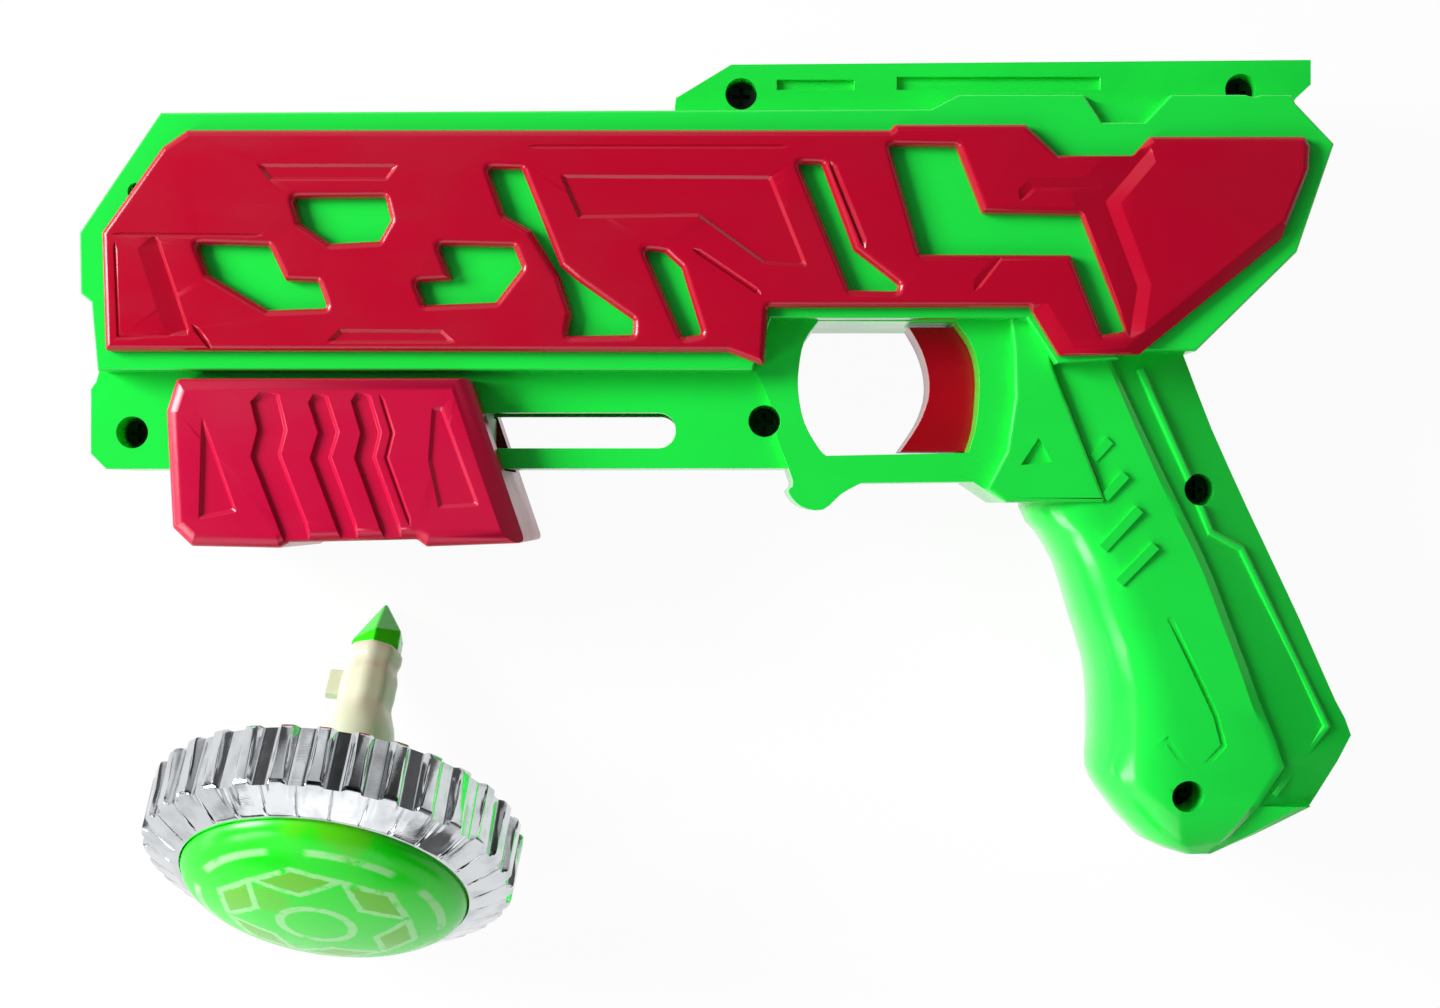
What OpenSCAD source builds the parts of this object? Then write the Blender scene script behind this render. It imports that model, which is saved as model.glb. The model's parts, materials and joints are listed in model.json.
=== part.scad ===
// Spinning top launcher with its top, lying on its right-hand side.
// Plan drawings are in the plane of the launcher: X towards the tail, Y towards the rail.
// Z rises through the width; the parting plane of the housing lies half_w above the table.

/* [Launcher] */
// Length of the launcher from the muzzle to the tail of the grip
gun_l = 212; // [200:1:230]
// Half the width of the main housing, without its covers
housing_half = 15.5; // [15:0.1:18]
// Height that each side cover stands proud of the housing
cover_t = 2.5; // [2:0.1:3.5]
// Wall of the moulded housing
wall = 2; // [1.6:0.1:2.2]
// Half the width of the top rail
rail_half = 7.5; // [7:0.1:9]
// Half the width of the plate that the pump runs on
plate_half = 9.5; // [9:0.1:11]
// Half the width of the trigger guard
guard_half = 11; // [10:0.1:12]
// Half the width of the bracket plate behind the trigger
bracket_half = 13; // [12.5:0.1:14]
// Half the thickness of the grip where it is fullest
grip_half = 14; // [13:0.1:15]
// Bevel along the edges of the side covers
cover_bevel = 1.1; // [0.6:0.1:1.5]
// Depth of the sunk panels and lines in covers and pump
relief_depth = 0.8; // [0.4:0.1:1.2]

/* [Pump] */
// Travel of the pump along its slot
pump_travel = 30; // [24:1:31]
// Height of the slot that the pump runs in
slot_h = 6; // [5:0.1:7]
// Running clearance between the pump and the housing
slide_gap = 0.3; // [0.2:0.05:0.4]

/* [Gear train] */
// Module of every gear and of the rack
gear_module = 1; // [0.9:0.02:1.04]
// Teeth of the pinion that the rack turns
rack_pinion_teeth = 12; // [11:1:13]
// Teeth of the crown gear
crown_teeth = 20; // [18:2:20]
// Teeth of the pinion on the spindle
spindle_teeth = 10; // [8:2:10]
// Radius of the axle of the drive gear
axle_r = 2; // [1.5:0.1:2.2]
// Outer radius of the hollow spindle
spindle_r = 3; // [2.8:0.1:3.2]
// Radius of the ejector rod
rod_r = 1.5; // [1.3:0.1:1.6]
// Radial clearance of every running fit
run_gap = 0.06; // [0.03:0.01:0.08]

/* [Chuck] */
// Radius of the socket that holds the stem of the top
socket_r = 5.2; // [5:0.05:5.6]
// Depth of the socket
socket_depth = 20; // [19:0.5:21]
// Outer radius of the chuck
chuck_r = 8; // [7.4:0.1:8.2]

/* [Trigger] */
// Travel of the trigger
trigger_travel = 6; // [5:0.1:6.4]
// Half the width of the trigger
trigger_half = 4.8; // [4:0.1:5]
// Radius of the pin of the release lever
lever_pin_r = 1.5; // [1.2:0.1:1.8]

/* [Screws] */
// Radius of the screw heads
screw_head_r = 2.4; // [2:0.1:2.5]
// Radius of the screw shanks
screw_r = 1.2; // [1:0.05:1.3]
// Length of a screw below its head
screw_l = 8; // [7:0.1:9]

/* [Top] */
// Radius over the flutes of the ring
ring_r = 31.5; // [30:0.5:34]
// Height of the fluted wall of the ring
ring_h = 10; // [9:0.5:12]
// Number of flutes round the ring
flutes = 32; // [24:2:36]
// Length of the stem and tip behind the ring
stem_l = 43.5; // [40:0.5:48]
// Radius of the stem where the chuck grips it
stem_r = 5; // [4.6:0.05:5.1]

/* [Hidden] */
$fn = 64;

// One overrun serves every cut
over = 0.5;
// The plan is drawn on a grid with this many shares to the launcher's length
grid_shares = 212;
share = gun_l / grid_shares;
function plan(shares) = shares * share;

// Colours of the mouldings
green = [0.13, 0.87, 0.28];
crimson = [0.77, 0.05, 0.19];
white_part = [0.88, 0.88, 0.84];
dark_steel = [0.25, 0.25, 0.27];
steel = [0.7, 0.7, 0.72];
brass = [0.8, 0.65, 0.3];

half_w = housing_half + cover_t;
pump_half = half_w;

// Outlines of the housing, in shares of the plan grid
block_shares = [[-93.1, 25.2], [-106.6, 5.2], [-106.4, -4.9], [-104.6, -6.4], [-103.6, -17.7],
    [5.4, -17.7], [8.6, -9], [51, -9], [56, -16.6], [78.8, -14.9], [96, 2], [102.2, 20],
    [95.8, 26.7], [95.1, 28.2], [74.4, 28.2], [73.2, 27.2], [62.8, 27.2], [61.2, 28.2],
    [39.7, 28.2], [35.2, 25.8]];
rail_shares = [[-7.7, 22], [-7.7, 27.6], [-7.5, 29.2], [1.9, 34.9], [100.6, 35.7],
    [100.6, 31.5], [98.1, 29.2], [95.1, 25]];
plate_shares = [[-106.5, -20.5], [-105.6, -19.2], [-103.6, -12], [12, -12], [12, -33.9],
    [-103.9, -34], [-106.5, -31.4]];
curve_steps = 3;
guard_curve_shares = [[5.4, -16.9], [8.3, -22.6], [9.6, -28.9], [12.3, -36.1], [11.5, -37.8],
    [13.6, -40.3], [17.3, -40.9], [20.5, -38.2], [23.8, -36.4]];
guard_corners_shares = [[42.6, -36.2], [47.9, -39.7], [52, -39.7], [56, -30], [56, -7],
    [7, -7]];
guard_shares = concat(smoothed(guard_curve_shares, curve_steps, len(guard_curve_shares)),
    guard_corners_shares);
opening_front_shares = [[16.6, -9.1], [14.2, -12.6], [13.3, -17], [13.2, -21.1],
    [14.2, -26.2], [16.6, -30.5], [17.9, -31.8]];
opening_rear_shares = [[41.8, -31.3], [43, -27.5], [43.6, -22.3], [43.6, -17.4], [42.4, -13],
    [39.7, -9.2]];
guard_opening_shares = concat(
    smoothed(opening_front_shares, curve_steps, len(opening_front_shares)),
    smoothed(opening_rear_shares, curve_steps, len(opening_rear_shares)));
bracket_shares = [[48.5, -8], [52, -7], [64.6, -39.1], [64.3, -39.7], [47.9, -39.7],
    [44.6, -37.4], [48, -31], [49.4, -22], [49.2, -14]];
bracket_pit_shares = [[50.4, -33.4], [53.4, -28.8], [55.6, -32.9]];
notch_sink_shares = [[60.2, 28.6], [63.6, 23.6], [70.6, 23.6], [75.4, 28.6]];
rail_sinks_shares = [[[9.7, 30.6], [22.8, 32.3]], [[30.1, 30.6], [64.7, 32.8]]];
notch_sink_depth = 1.6;
rail_sink_depth = 1;

// The grip is lofted over stations: front point, edge of the main swell, rear point and
// the share of the full half thickness reached there
grip_front_shares = [[52, -14], [52.5, -27], [52.2, -40.4], [55, -44.6], [58.2, -50.2],
    [60.8, -58.7], [63.2, -66.4], [64, -73.2], [64, -80.9], [63.8, -85.6], [66, -90],
    [72.3, -97.3], [78.3, -99.6]];
grip_swell_shares = [[65.5, -14.4], [71.4, -27], [77.8, -40.3], [80.5, -46], [83.1, -52],
    [85.7, -59.2], [88.7, -67.3], [90.9, -73.3], [93.7, -79.8], [95.2, -84], [91, -90.8],
    [86.6, -95.9], [83, -99.4]];
grip_rear_shares = [[79.2, -14.5], [83.9, -27], [89.7, -40.3], [92.3, -46], [95, -52],
    [98.3, -59.2], [101.8, -67.3], [104.5, -73.3], [107.2, -79.2], [104.6, -83.5],
    [100, -91.1], [91, -95.9], [84, -99.6]];
grip_fullness_shares = [0.82, 0.82, 0.86, 0.89, 0.93, 0.97, 1, 1, 0.985, 0.955, 0.9, 0.75,
    0.55];
// Section of the grip: share of the chord, share of the half thickness; its front is a
// quarter round up to the crest, squared by a power
grip_crest_share = 0.45;
grip_round_steps = 10;
grip_round_power = 1.3;
grip_back_shares = [[0.92, 1], [0.98, 0.95], [1, 0.86], [1, 0]];
grip_section_shares = concat(
    [for (i = [0 : grip_round_steps]) let (a = 90 * i / grip_round_steps)
        [grip_crest_share * pow(1 - cos(a), grip_round_power), sin(a)]],
    grip_back_shares);
// The grip's stations bend smoothly down to the one where the faceted butt starts
grip_steps = 2;
grip_smooth_spans = 8;
// The rear land of the grip lies lower than the main swell by this much
grip_step = 1.5;
grip_ridge_shares = [[71.1, -17.1], [79.2, -35.5], [82.8, -44.8], [88.2, -47.5],
    [91.1, -53.6], [102.6, -77.5], [93.2, -88.9]];
grip_ridge_w = 1.2;
grip_ridge_h = 0.6;
grip_ribs_shares = [[[62.7, -32.3], [65.5, -29.2]], [[64.5, -38.9], [68.1, -35]],
    [[64.2, -47.4], [70.3, -40.8]], [[66.8, -53.1], [72.9, -46.9]]];
grip_rib_w = 1.6;
grip_rib_h = 0.5;
grip_panel_shares = [[75.2, -58.9], [82.8, -75.2], [84.2, -80.3], [79.4, -85.8],
    [74.8, -79.5], [68.2, -86.1]];
grip_line_w = 1;
grip_line_depth = 0.5;
// Stations whose height the ridge and the sunk line on the grip take
grip_ridge_station = 4;
grip_panel_station = 7;
// Hollow of the grip, kept clear of its rounded front
grip_hollow_shares = [[60, -12], [63, -34], [70, -62], [72, -80], [78, -92], [88, -90],
    [98, -79], [78, -16]];
grip_hollow_half = 9;

// Outline, windows and relief of the side covers
cover_shares = [[-88.1, 22], [-92.2, 19.2], [-102.3, 5], [-101.7, -14.6], [1.3, -14.8],
    [7.4, -17.1], [8, -7.4], [51.3, -7.4], [56.1, -15.4], [69.4, -15.2], [92.9, 3.9],
    [97.5, 15.4], [97.7, 19.3], [96.8, 20.9], [71.2, 20.9], [68.3, 17.8], [56.1, 17.8],
    [50.6, 22.9], [28.9, 22.9], [28.1, 22]];
cover_windows_shares = [
    [[-70.5, 10.7], [-55.4, 10.8], [-54.5, 7], [-56.4, 3.6], [-64.4, 3.2], [-69.3, 6.5]],
    [[-86.6, 3.1], [-74.6, 2.7], [-71.9, -3], [-66.5, -3.2], [-65, -7.5], [-74.7, -7.8],
        [-84.5, -2]],
    [[-46.5, 2.9], [-34.2, 2.6], [-32.8, -0.9], [-37.1, -6.5], [-48.7, -7], [-50.2, -3.2],
        [-44.2, -2.9]],
    [[-38.3, 15.6], [-35.5, 7.9], [-31.2, 5.4], [-26.4, -2.4], [-24.4, -8.5], [-25.2, -12.1],
        [-14.4, -11.9], [-14.4, -9.5], [-23.6, -3], [-26.4, -0.6], [-32.8, 15.4]],
    [[-12.4, 2.1], [-9.2, 1.7], [-6.4, -0.9], [-3, -11.8], [-6.1, -12.3]],
    [[13, 16.4], [16.8, 16.3], [22.1, 2.1], [29.5, -3.7], [29.2, -4.7], [21.6, -4.5]],
    [[28.1, 19.4], [39.1, 19.2], [43.4, 8.2], [59.7, 7.9], [67.2, -11.3], [63.4, -11.9],
        [58.1, 1.3], [33.3, 1.4]]];
cover_panels_shares = [
    [[-99.7, 4.3], [-95.9, 4.3], [-89.9, -12], [-99.2, -12.7]],
    [[-26.4, 14.4], [-23.3, 7.3], [-3.6, 7.6], [7.1, -0.2], [14.4, -0.7], [8.4, 14.2]]];
cover_lines_shares = [
    [[-92.7, 4.3], [-84, -13.2]],
    [[-76.9, 15.8], [-74.4, 13.5], [-53.3, 13.7]],
    [[-64.8, -13.2], [-63.4, -11.1], [-45.5, -11.1]],
    [[-31.7, 19.1], [11.4, 19.1]],
    [[-4.6, 2.3], [6.8, -5.4]],
    [[18, 16.8], [23.9, 2.3]],
    [[49.5, 10.1], [51.8, 12.4], [64.2, 12.4]],
    [[71.1, 18.8], [63.7, 10.1], [69, -4], [67.7, -12.4]],
    [[39.6, -4], [43.7, 0]]];
cover_line_w = 1.1;
// A bevel is cut in steps: shares of its depth at which the outline moves in
bevel_steps_shares = [0, 0.5, 1];
// Pegs that hold each cover in the wall of the housing
cover_pegs_shares = [[-97, 12], [-78, -11], [-14, 17], [44, -2], [86, 12]];
cover_peg_r = 1.4;
cover_peg_gap = 0.1;

// Outline and relief of the pump
pump_shares = [[-89.2, -19.1], [-42.9, -19.1], [-41.4, -19.5], [-32.5, -45.3],
    [-33.3, -46.5], [-48.7, -47], [-50, -45.8], [-71.5, -46.3], [-72.8, -47.2],
    [-87.5, -46.9], [-90.7, -43.8], [-91.7, -24.5], [-90, -19.5]];
pump_ribs_shares = [
    [[-78.5, -21.5], [-76.6, -27.7], [-77.4, -32.5], [-74.1, -40.6], [-71.3, -45.4]],
    [[-72.3, -22], [-70.3, -28.2], [-71.3, -32.3], [-67, -43.9]],
    [[-65, -22], [-62.9, -28.1], [-64.2, -32.3], [-59.9, -43.9]],
    [[-57.9, -21.8], [-55.9, -28.2], [-56.9, -32.3], [-52.8, -43.7]]];
pump_rib_w = 1.6;
pump_pits_shares = [
    [[-86, -25.7], [-80.2, -40.6], [-86, -41.6]],
    [[-46, -24.3], [-40.4, -40], [-46.2, -40.1]]];
pump_screws_shares = [[-80, -41.2], [-44, -41.2]];
pump_bevel = 0.9;

// Slot in the plate and the carriage that runs in it
slot_x_shares = [-91, -7.5];
slot_y_share = -27.5;
carriage_x_shares = [-88, -40];
slot_x0 = plan(slot_x_shares[0]);
slot_x1 = plan(slot_x_shares[1]);
slot_y = plan(slot_y_share);
carriage_x0 = plan(carriage_x_shares[0]);
carriage_x1 = plan(carriage_x_shares[1]);
carriage_half = 6;
carriage_gap = 0.2;
plate_bottom_y = plan(plate_shares[5][1]);
housing_floor_y = plan(block_shares[4][1]);

// Drive gear, spindle and rack; the spindle lies on the X axis of the plan
drive_x_share = -58;
drive_x = plan(drive_x_share);
rack_pinion_r = gear_module * rack_pinion_teeth / 2;
crown_r = gear_module * crown_teeth / 2;
spindle_pinion_r = gear_module * spindle_teeth / 2;
crown_face = 3;
pressure_angle = 20;
tooth_share = 0.36;
addendum = gear_module;
dedendum = 1.25 * gear_module;
crown_root_z = -spindle_pinion_r - dedendum;
crown_tip_z = -spindle_pinion_r + addendum;
// Crown disc, pinion and end clearance share the depth left under the spindle
gear_depth = housing_half - wall + crown_root_z;
gear_widths_shares = [10, 16, 3];
gear_width_unit = gear_depth / (gear_widths_shares * [1, 1, 1]);
crown_disc_t = gear_widths_shares[0] * gear_width_unit;
pinion_face = gear_widths_shares[1] * gear_width_unit;
crown_back_z = crown_root_z - crown_disc_t;
pinion_end_z = crown_back_z - pinion_face;
crown_margin = 0.3;
crown_rim_r = crown_r + crown_face / 2 + crown_margin;
gear_shoulder_r = 3.4;
gear_end_gap = 0.2;
clip_r = 3.4;
clip_t = 0.8;
tooth_pitch = PI * gear_module;
rack_pitch_y = -rack_pinion_r;
rack_body_t = 2.5;
rack_bottom_y = rack_pitch_y - dedendum - rack_body_t;
rack_z0 = pinion_end_z + carriage_gap;
rack_z1 = crown_back_z - slide_gap;
// Teeth of the rack before and after the line through the drive gear, at rest
rack_teeth_ahead = ceil((plan(pump_travel) + rack_pinion_r - gear_module) / tooth_pitch);
rack_teeth_after = 2;
flange_top_y = -crown_rim_r - slide_gap;
flange_bottom_y = housing_floor_y + wall + slide_gap;

// Places along the spindle
muzzle_x_share = -104;
muzzle_x = plan(muzzle_x_share);
socket_x1 = muzzle_x + socket_depth;
chuck_floor_t = 2.2;
chuck_x1 = socket_x1 + chuck_floor_t;
chuck_key_w = 2.4;
chuck_key_l = 5;
rib_t = 2;
bush_flange_t = 0.8;
bush_wall = 1.5;
bush_r = spindle_r + bush_wall;
bush_flange_r = bush_r + bush_flange_t;
bush_gap = 0.5;
front_rib_x = chuck_x1 + bush_gap + bush_flange_t;
rear_rib_x = drive_x + crown_rim_r + wall;
spindle_x1 = rear_rib_x + rib_t + 2 * bush_flange_t + bush_gap;
spindle_collar_r = spindle_r + wall / 2;
spindle_pinion_x0 = drive_x - crown_r - crown_face / 2;
rib_low_y = flange_top_y + 2 * slide_gap;
rack_clear_y = rack_pitch_y + addendum + slide_gap;
rib_top_share = 20;
rib_top_y = plan(rib_top_share);

// Ejector rod, release lever and trigger
lever_shares = [51.5, -6.5];
lever_low_arm_share = 8.5;
lever_x = plan(lever_shares[0]);
lever_y = plan(lever_shares[1]);
lever_low_arm = plan(lever_low_arm_share);
lever_high_arm = -lever_y;
lever_end_r = 1.5;
lever_tip_r = 1.3;
lever_hub_r = lever_pin_r + wall * 0.75;
lever_half = 2;
lever_boss_gap = 0.3;
rod_x0 = socket_x1 + slide_gap;
rod_x1 = lever_x - lever_tip_r - slide_gap;
rod_guides_shares = [0, 30];
rod_spring_x_shares = [8, 20];
rod_spring_x0 = plan(rod_spring_x_shares[0]);
rod_collar_x = plan(rod_spring_x_shares[1]);
rod_collar_r = 3;
rod_collar_t = 1.5;
trigger_front_shares = [[32.4, -9.6], [34.6, -13.6], [35.8, -17.9], [35.7, -22],
    [34, -26.4], [30.9, -31]];
trigger_back_shares = [[46.5, -31], [46.5, -12.4], [44.6, -9.6]];
trigger_shares = concat(
    smoothed(trigger_front_shares, curve_steps, len(trigger_front_shares)),
    trigger_back_shares);
trigger_nose_shares = [[46, -18], [49.4, -17], [49.4, -14.6], [46, -14.6]];
trigger_flange_shares = [[44.9, -30.8], [46.5, -30.8], [46.5, -12.4], [44.9, -10]];
trigger_slot_shares = [[38, -31.2], [44.6, -31.2], [44.6, -9.4], [38, -9.4]];
trigger_spring_room_share = 3.7;
bay_rear_share = trigger_back_shares[0][0] + trigger_travel + trigger_spring_room_share;
trigger_bay_shares = [[44.5, -31.2], [bay_rear_share, -31.2], [bay_rear_share, -18.5],
    [60.2, -17.5], [60.2, -6], [46.4, -6], [46.4, -9.5], [44.5, -9.5]];
trigger_flange_half = trigger_half + 1.2;
trigger_rear_x = plan(trigger_back_shares[0][0]);
bay_rear_x = plan(bay_rear_share);
trigger_spring_y_share = -24.6;
trigger_spring_y = plan(trigger_spring_y_share);

// Springs
spring_wire_r = 0.3;
pump_spring_r = 2.2;
pump_spring_y_share = -20.6;
pump_spring_y = plan(pump_spring_y_share);
pump_spring_x1_share = -2;
pump_spring_x1 = plan(pump_spring_x1_share);
pump_spring_turns = 11;
rod_spring_r = 2.2;
rod_spring_turns = 5;
trigger_spring_r = 2.4;
trigger_spring_turns = 4;
spring_sides = 6;
spring_rings = 10;

// Screws of the housing
screws_shares = [[3.6, 29.9], [88.7, 30.6], [-99.5, -27.8], [7.5, -25.9], [81.2, -37.5],
    [78.5, -89]];
screw_seat_z = 3;
screw_head_h = 1.6;
screw_hole_gap = 0.3;
screw_boss_r = screw_head_r + screw_hole_gap + wall / 2;
screw_cross_w = 0.7;
screw_cross_depth = 0.9;

// Spinning top; its own Z axis runs from the dome towards the tip, zero at the back rim
flute_depth_share = 0.045;
flute_section_shares = [[0, 0], [0.22, 0], [0.36, 1], [0.64, 1], [0.78, 0]];
ring_bevel_h = 3.2;
ring_rim = 7.5;
ring_mouth_r = ring_r - ring_rim;
ring_lip = 1.2;
ring_draft = 0.4;
dome_h = 7;
dome_steps = 10;
base_t = 2.5;
base_depth = 1;
hub_r = 9;
hub_h = 4.5;
tip_l = 11;
tip_sides = 6;
tip_cut_shares = [1, 0.35, 0.2, 0.55, 0.9, 1];
stem_base_r = 7.5;
stem_waist_r = 4.6;
stem_lug = [chuck_key_w - carriage_gap, chuck_r - 3 * carriage_gap, chuck_key_l];
stem_lug_share = 0.67;
top_lean = atan(ring_r / stem_l);
top_heading = 6;
top_tip_shares = [-61, -58];
top_tip_at = plan(top_tip_shares);

function unit(v) = v / norm(v);
function left_of(v) = [-v[1], v[0]];
// Mitred direction across a line at point i
function across(p, i) =
    let (a = i > 0 ? unit(p[i] - p[i - 1]) : unit(p[1] - p[0]),
         b = i < len(p) - 1 ? unit(p[i + 1] - p[i]) : a,
         m = unit(a + b))
    left_of(m) / (m * a);
// Closed outline of a line of the given width
function ribbon(p, w) = concat(
    [for (i = [0 : len(p) - 1]) p[i] + across(p, i) * w / 2],
    [for (i = [len(p) - 1 : -1 : 0]) p[i] - across(p, i) * w / 2]);

// Positive where a closed outline runs anticlockwise
function winding(p) = [for (i = [0 : len(p) - 1]) let (q = p[(i + 1) % len(p)])
    p[i][0] * q[1] - q[0] * p[i][1]] * [for (i = p) 1];
function anticlockwise(p) =
    winding(p) > 0 ? p : [for (i = [len(p) - 1 : -1 : 0]) p[i]];
// Anticlockwise outline with every side moved inwards by d
function moved_in(p, d) = [for (i = [0 : len(p) - 1])
    let (a = unit(p[i] - p[(i + len(p) - 1) % len(p)]),
         b = unit(p[(i + 1) % len(p)] - p[i]), m = unit(left_of(a + b)))
    p[i] + m * d / (m * left_of(a))];

// Smooth curve through points or numbers, in n steps for each of the first spans, where
// each span bends with its neighbours; later spans are only divided
function bent(a, b, c, d, t) =
    b + ((c - a) * t + (2 * a - 5 * b + 4 * c - d) * t * t
        + (3 * b - a - 3 * c + d) * t * t * t) / 2;
function smoothed(p, n, spans) =
    let (last = len(p) - 1)
    concat([for (i = [0 : last - 1]) for (k = [0 : n - 1])
        i < spans ? bent(p[max(i - 1, 0)], p[i], p[i + 1], p[min(i + 2, last)], k / n)
            : p[i] + (p[i + 1] - p[i]) * k / n], [p[last]]);

// Everything below is drawn about the parting plane and laid on its right-hand side
module lay() {
    translate([0, 0, half_w]) children();
}

module slab(shares, z0, z1) {
    translate([0, 0, z0]) linear_extrude(z1 - z0) polygon(plan(shares));
}

// A slab whose upper edges step inwards over the depth of a bevel
module bevelled(shares, z0, z1, bevel) {
    p = anticlockwise(plan(shares));
    for (s = bevel_steps_shares) translate([0, 0, z0])
        linear_extrude(z1 - bevel * (1 - s) - z0) polygon(moved_in(p, bevel * s));
}

// Cut through a slab whose upper edges step outwards over the depth of a bevel
module bevelled_cut(shares, z0, z1, bevel) {
    p = anticlockwise(plan(shares));
    for (i = [0 : len(bevel_steps_shares) - 1])
        let (low = i > 0 ? z1 - bevel * (1 - bevel_steps_shares[i - 1]) : z0 - over)
        translate([0, 0, low]) linear_extrude(z1 + over - low)
            polygon(moved_in(p, -bevel * bevel_steps_shares[i]));
}

// A straight rod or bore along X, about the line y, z
module along_x(x0, x1, r, y = 0, z = 0) {
    translate([x0, y, z]) rotate([0, 90, 0]) cylinder(r = r, h = x1 - x0);
}

// Skin over stations: each goes from a front to a rear point and rises by the section
module loft(front, rear, heights) {
    n = len(grip_section_shares);
    last = len(front) - 1;
    points = [for (i = [0 : last]) for (s = grip_section_shares)
        let (p = front[i] + (rear[i] - front[i]) * s[0]) [p[0], p[1], heights[i] * s[1]]];
    sides = [for (i = [0 : last - 1]) for (j = [0 : n - 1])
        let (a = i * n + j, b = i * n + (j + 1) % n, c = a + n, d = b + n)
        each [[a, b, d], [a, d, c]]];
    caps = [for (j = [1 : n - 2]) each [[0, j + 1, j],
        [last * n, last * n + j, last * n + j + 1]]];
    polyhedron(points, concat(sides, caps));
}

// Coil of round wire along X from x0 to x1
module coil(x0, x1, r, turns, y) {
    steps = turns * spring_rings;
    length = x1 - x0 - 2 * spring_wire_r;
    rise = length / (turns * 2 * PI * r);
    centres = [for (i = [0 : steps]) let (a = 360 * i / spring_rings)
        [x0 + spring_wire_r + length * i / steps, y + r * cos(a), r * sin(a)]];
    points = [for (i = [0 : steps]) for (k = [0 : spring_sides - 1])
        let (a = 360 * i / spring_rings, t = 360 * k / spring_sides,
             out = [0, cos(a), sin(a)], side = unit([1, rise * sin(a), -rise * cos(a)]))
        centres[i] + spring_wire_r * (cos(t) * out + sin(t) * side)];
    sides = [for (i = [0 : steps - 1]) for (k = [0 : spring_sides - 1])
        let (a = i * spring_sides + k, b = i * spring_sides + (k + 1) % spring_sides,
             c = a + spring_sides, d = b + spring_sides)
        each [[a, b, d], [a, d, c]]];
    ends = [for (k = [1 : spring_sides - 2]) each [[0, k + 1, k],
        [steps * spring_sides, steps * spring_sides + k, steps * spring_sides + k + 1]]];
    polyhedron(points, concat(sides, ends));
}

// Involute of a circle, in degrees at a given pressure angle
function involute(a) = tan(a) * 180 / PI - a;
function half_tooth(r, teeth) =
    let (base_r = gear_module * teeth / 2 * cos(pressure_angle))
    tooth_share * 180 / teeth + involute(pressure_angle) - involute(acos(min(1, base_r / r)));

// Spur gear profile with a tooth on the X axis
module spur(teeth) {
    pitch_r = gear_module * teeth / 2;
    flank = [for (s = [0 : 4]) pitch_r - dedendum + s / 4 * (addendum + dedendum)];
    polygon([for (k = [0 : teeth - 1]) each concat(
        [for (s = [0 : 4]) let (a = 360 * k / teeth - half_tooth(flank[s], teeth))
            flank[s] * [cos(a), sin(a)]],
        [for (s = [4 : -1 : 0]) let (a = 360 * k / teeth + half_tooth(flank[s], teeth))
            flank[s] * [cos(a), sin(a)]])]);
}

// Trapezoid tooth of a rack or crown, its pitch line on the X axis
module rack_tooth(root) {
    half = tooth_pitch * tooth_share / 2;
    slope = tan(pressure_angle);
    polygon([[-half - root * slope, -root], [half + root * slope, -root],
        [half - addendum * slope, addendum], [-half + addendum * slope, addendum]]);
}

module slot_cut() {
    translate([0, 0, -over]) linear_extrude(plate_half + 2 * over) hull() {
        translate([slot_x0 + slot_h / 2, slot_y]) circle(r = slot_h / 2);
        translate([slot_x1 - slot_h / 2, slot_y]) circle(r = slot_h / 2);
    }
}

// The grip of one half, from the parting plane outwards
module grip_half_solid() {
    front = smoothed(plan(grip_front_shares), grip_steps, len(grip_front_shares));
    full = smoothed(grip_fullness_shares, grip_steps, len(grip_fullness_shares));
    loft(front, smoothed(plan(grip_rear_shares), grip_steps, grip_smooth_spans),
        (grip_half - grip_step) * full);
    loft(front, smoothed(plan(grip_swell_shares), grip_steps, grip_smooth_spans),
        grip_half * full);
}

// Height of the grip's surface near a station, on its main swell
function swell_z(i) = grip_half * grip_fullness_shares[i];

module shell_outside() {
    slab(block_shares, 0, housing_half);
    slab(rail_shares, 0, rail_half);
    slab(plate_shares, 0, plate_half);
    slab(guard_shares, 0, guard_half);
    slab(bracket_shares, 0, bracket_half);
    grip_half_solid();
    linear_extrude(swell_z(grip_ridge_station) - grip_step + grip_ridge_h)
        polygon(ribbon(plan(grip_ridge_shares), grip_ridge_w));
    for (i = [0 : len(grip_ribs_shares) - 1])
        linear_extrude(swell_z(i + 1) + grip_rib_h)
            polygon(ribbon(plan(grip_ribs_shares[i]), grip_rib_w));
}

module shell_cavity() {
    translate([0, 0, -over]) {
        linear_extrude(housing_half - wall + over) offset(delta = -wall)
            polygon(plan(block_shares));
        linear_extrude(plate_half - wall + over) difference() {
            offset(delta = -wall) polygon(plan(plate_shares));
            polygon(plan(guard_shares));
        }
        linear_extrude(grip_hollow_half + over) polygon(plan(grip_hollow_shares));
        linear_extrude(trigger_flange_half + carriage_gap + over)
            polygon(plan(trigger_bay_shares));
        linear_extrude(trigger_half + carriage_gap + over)
            polygon(plan(trigger_slot_shares));
    }
}

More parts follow.
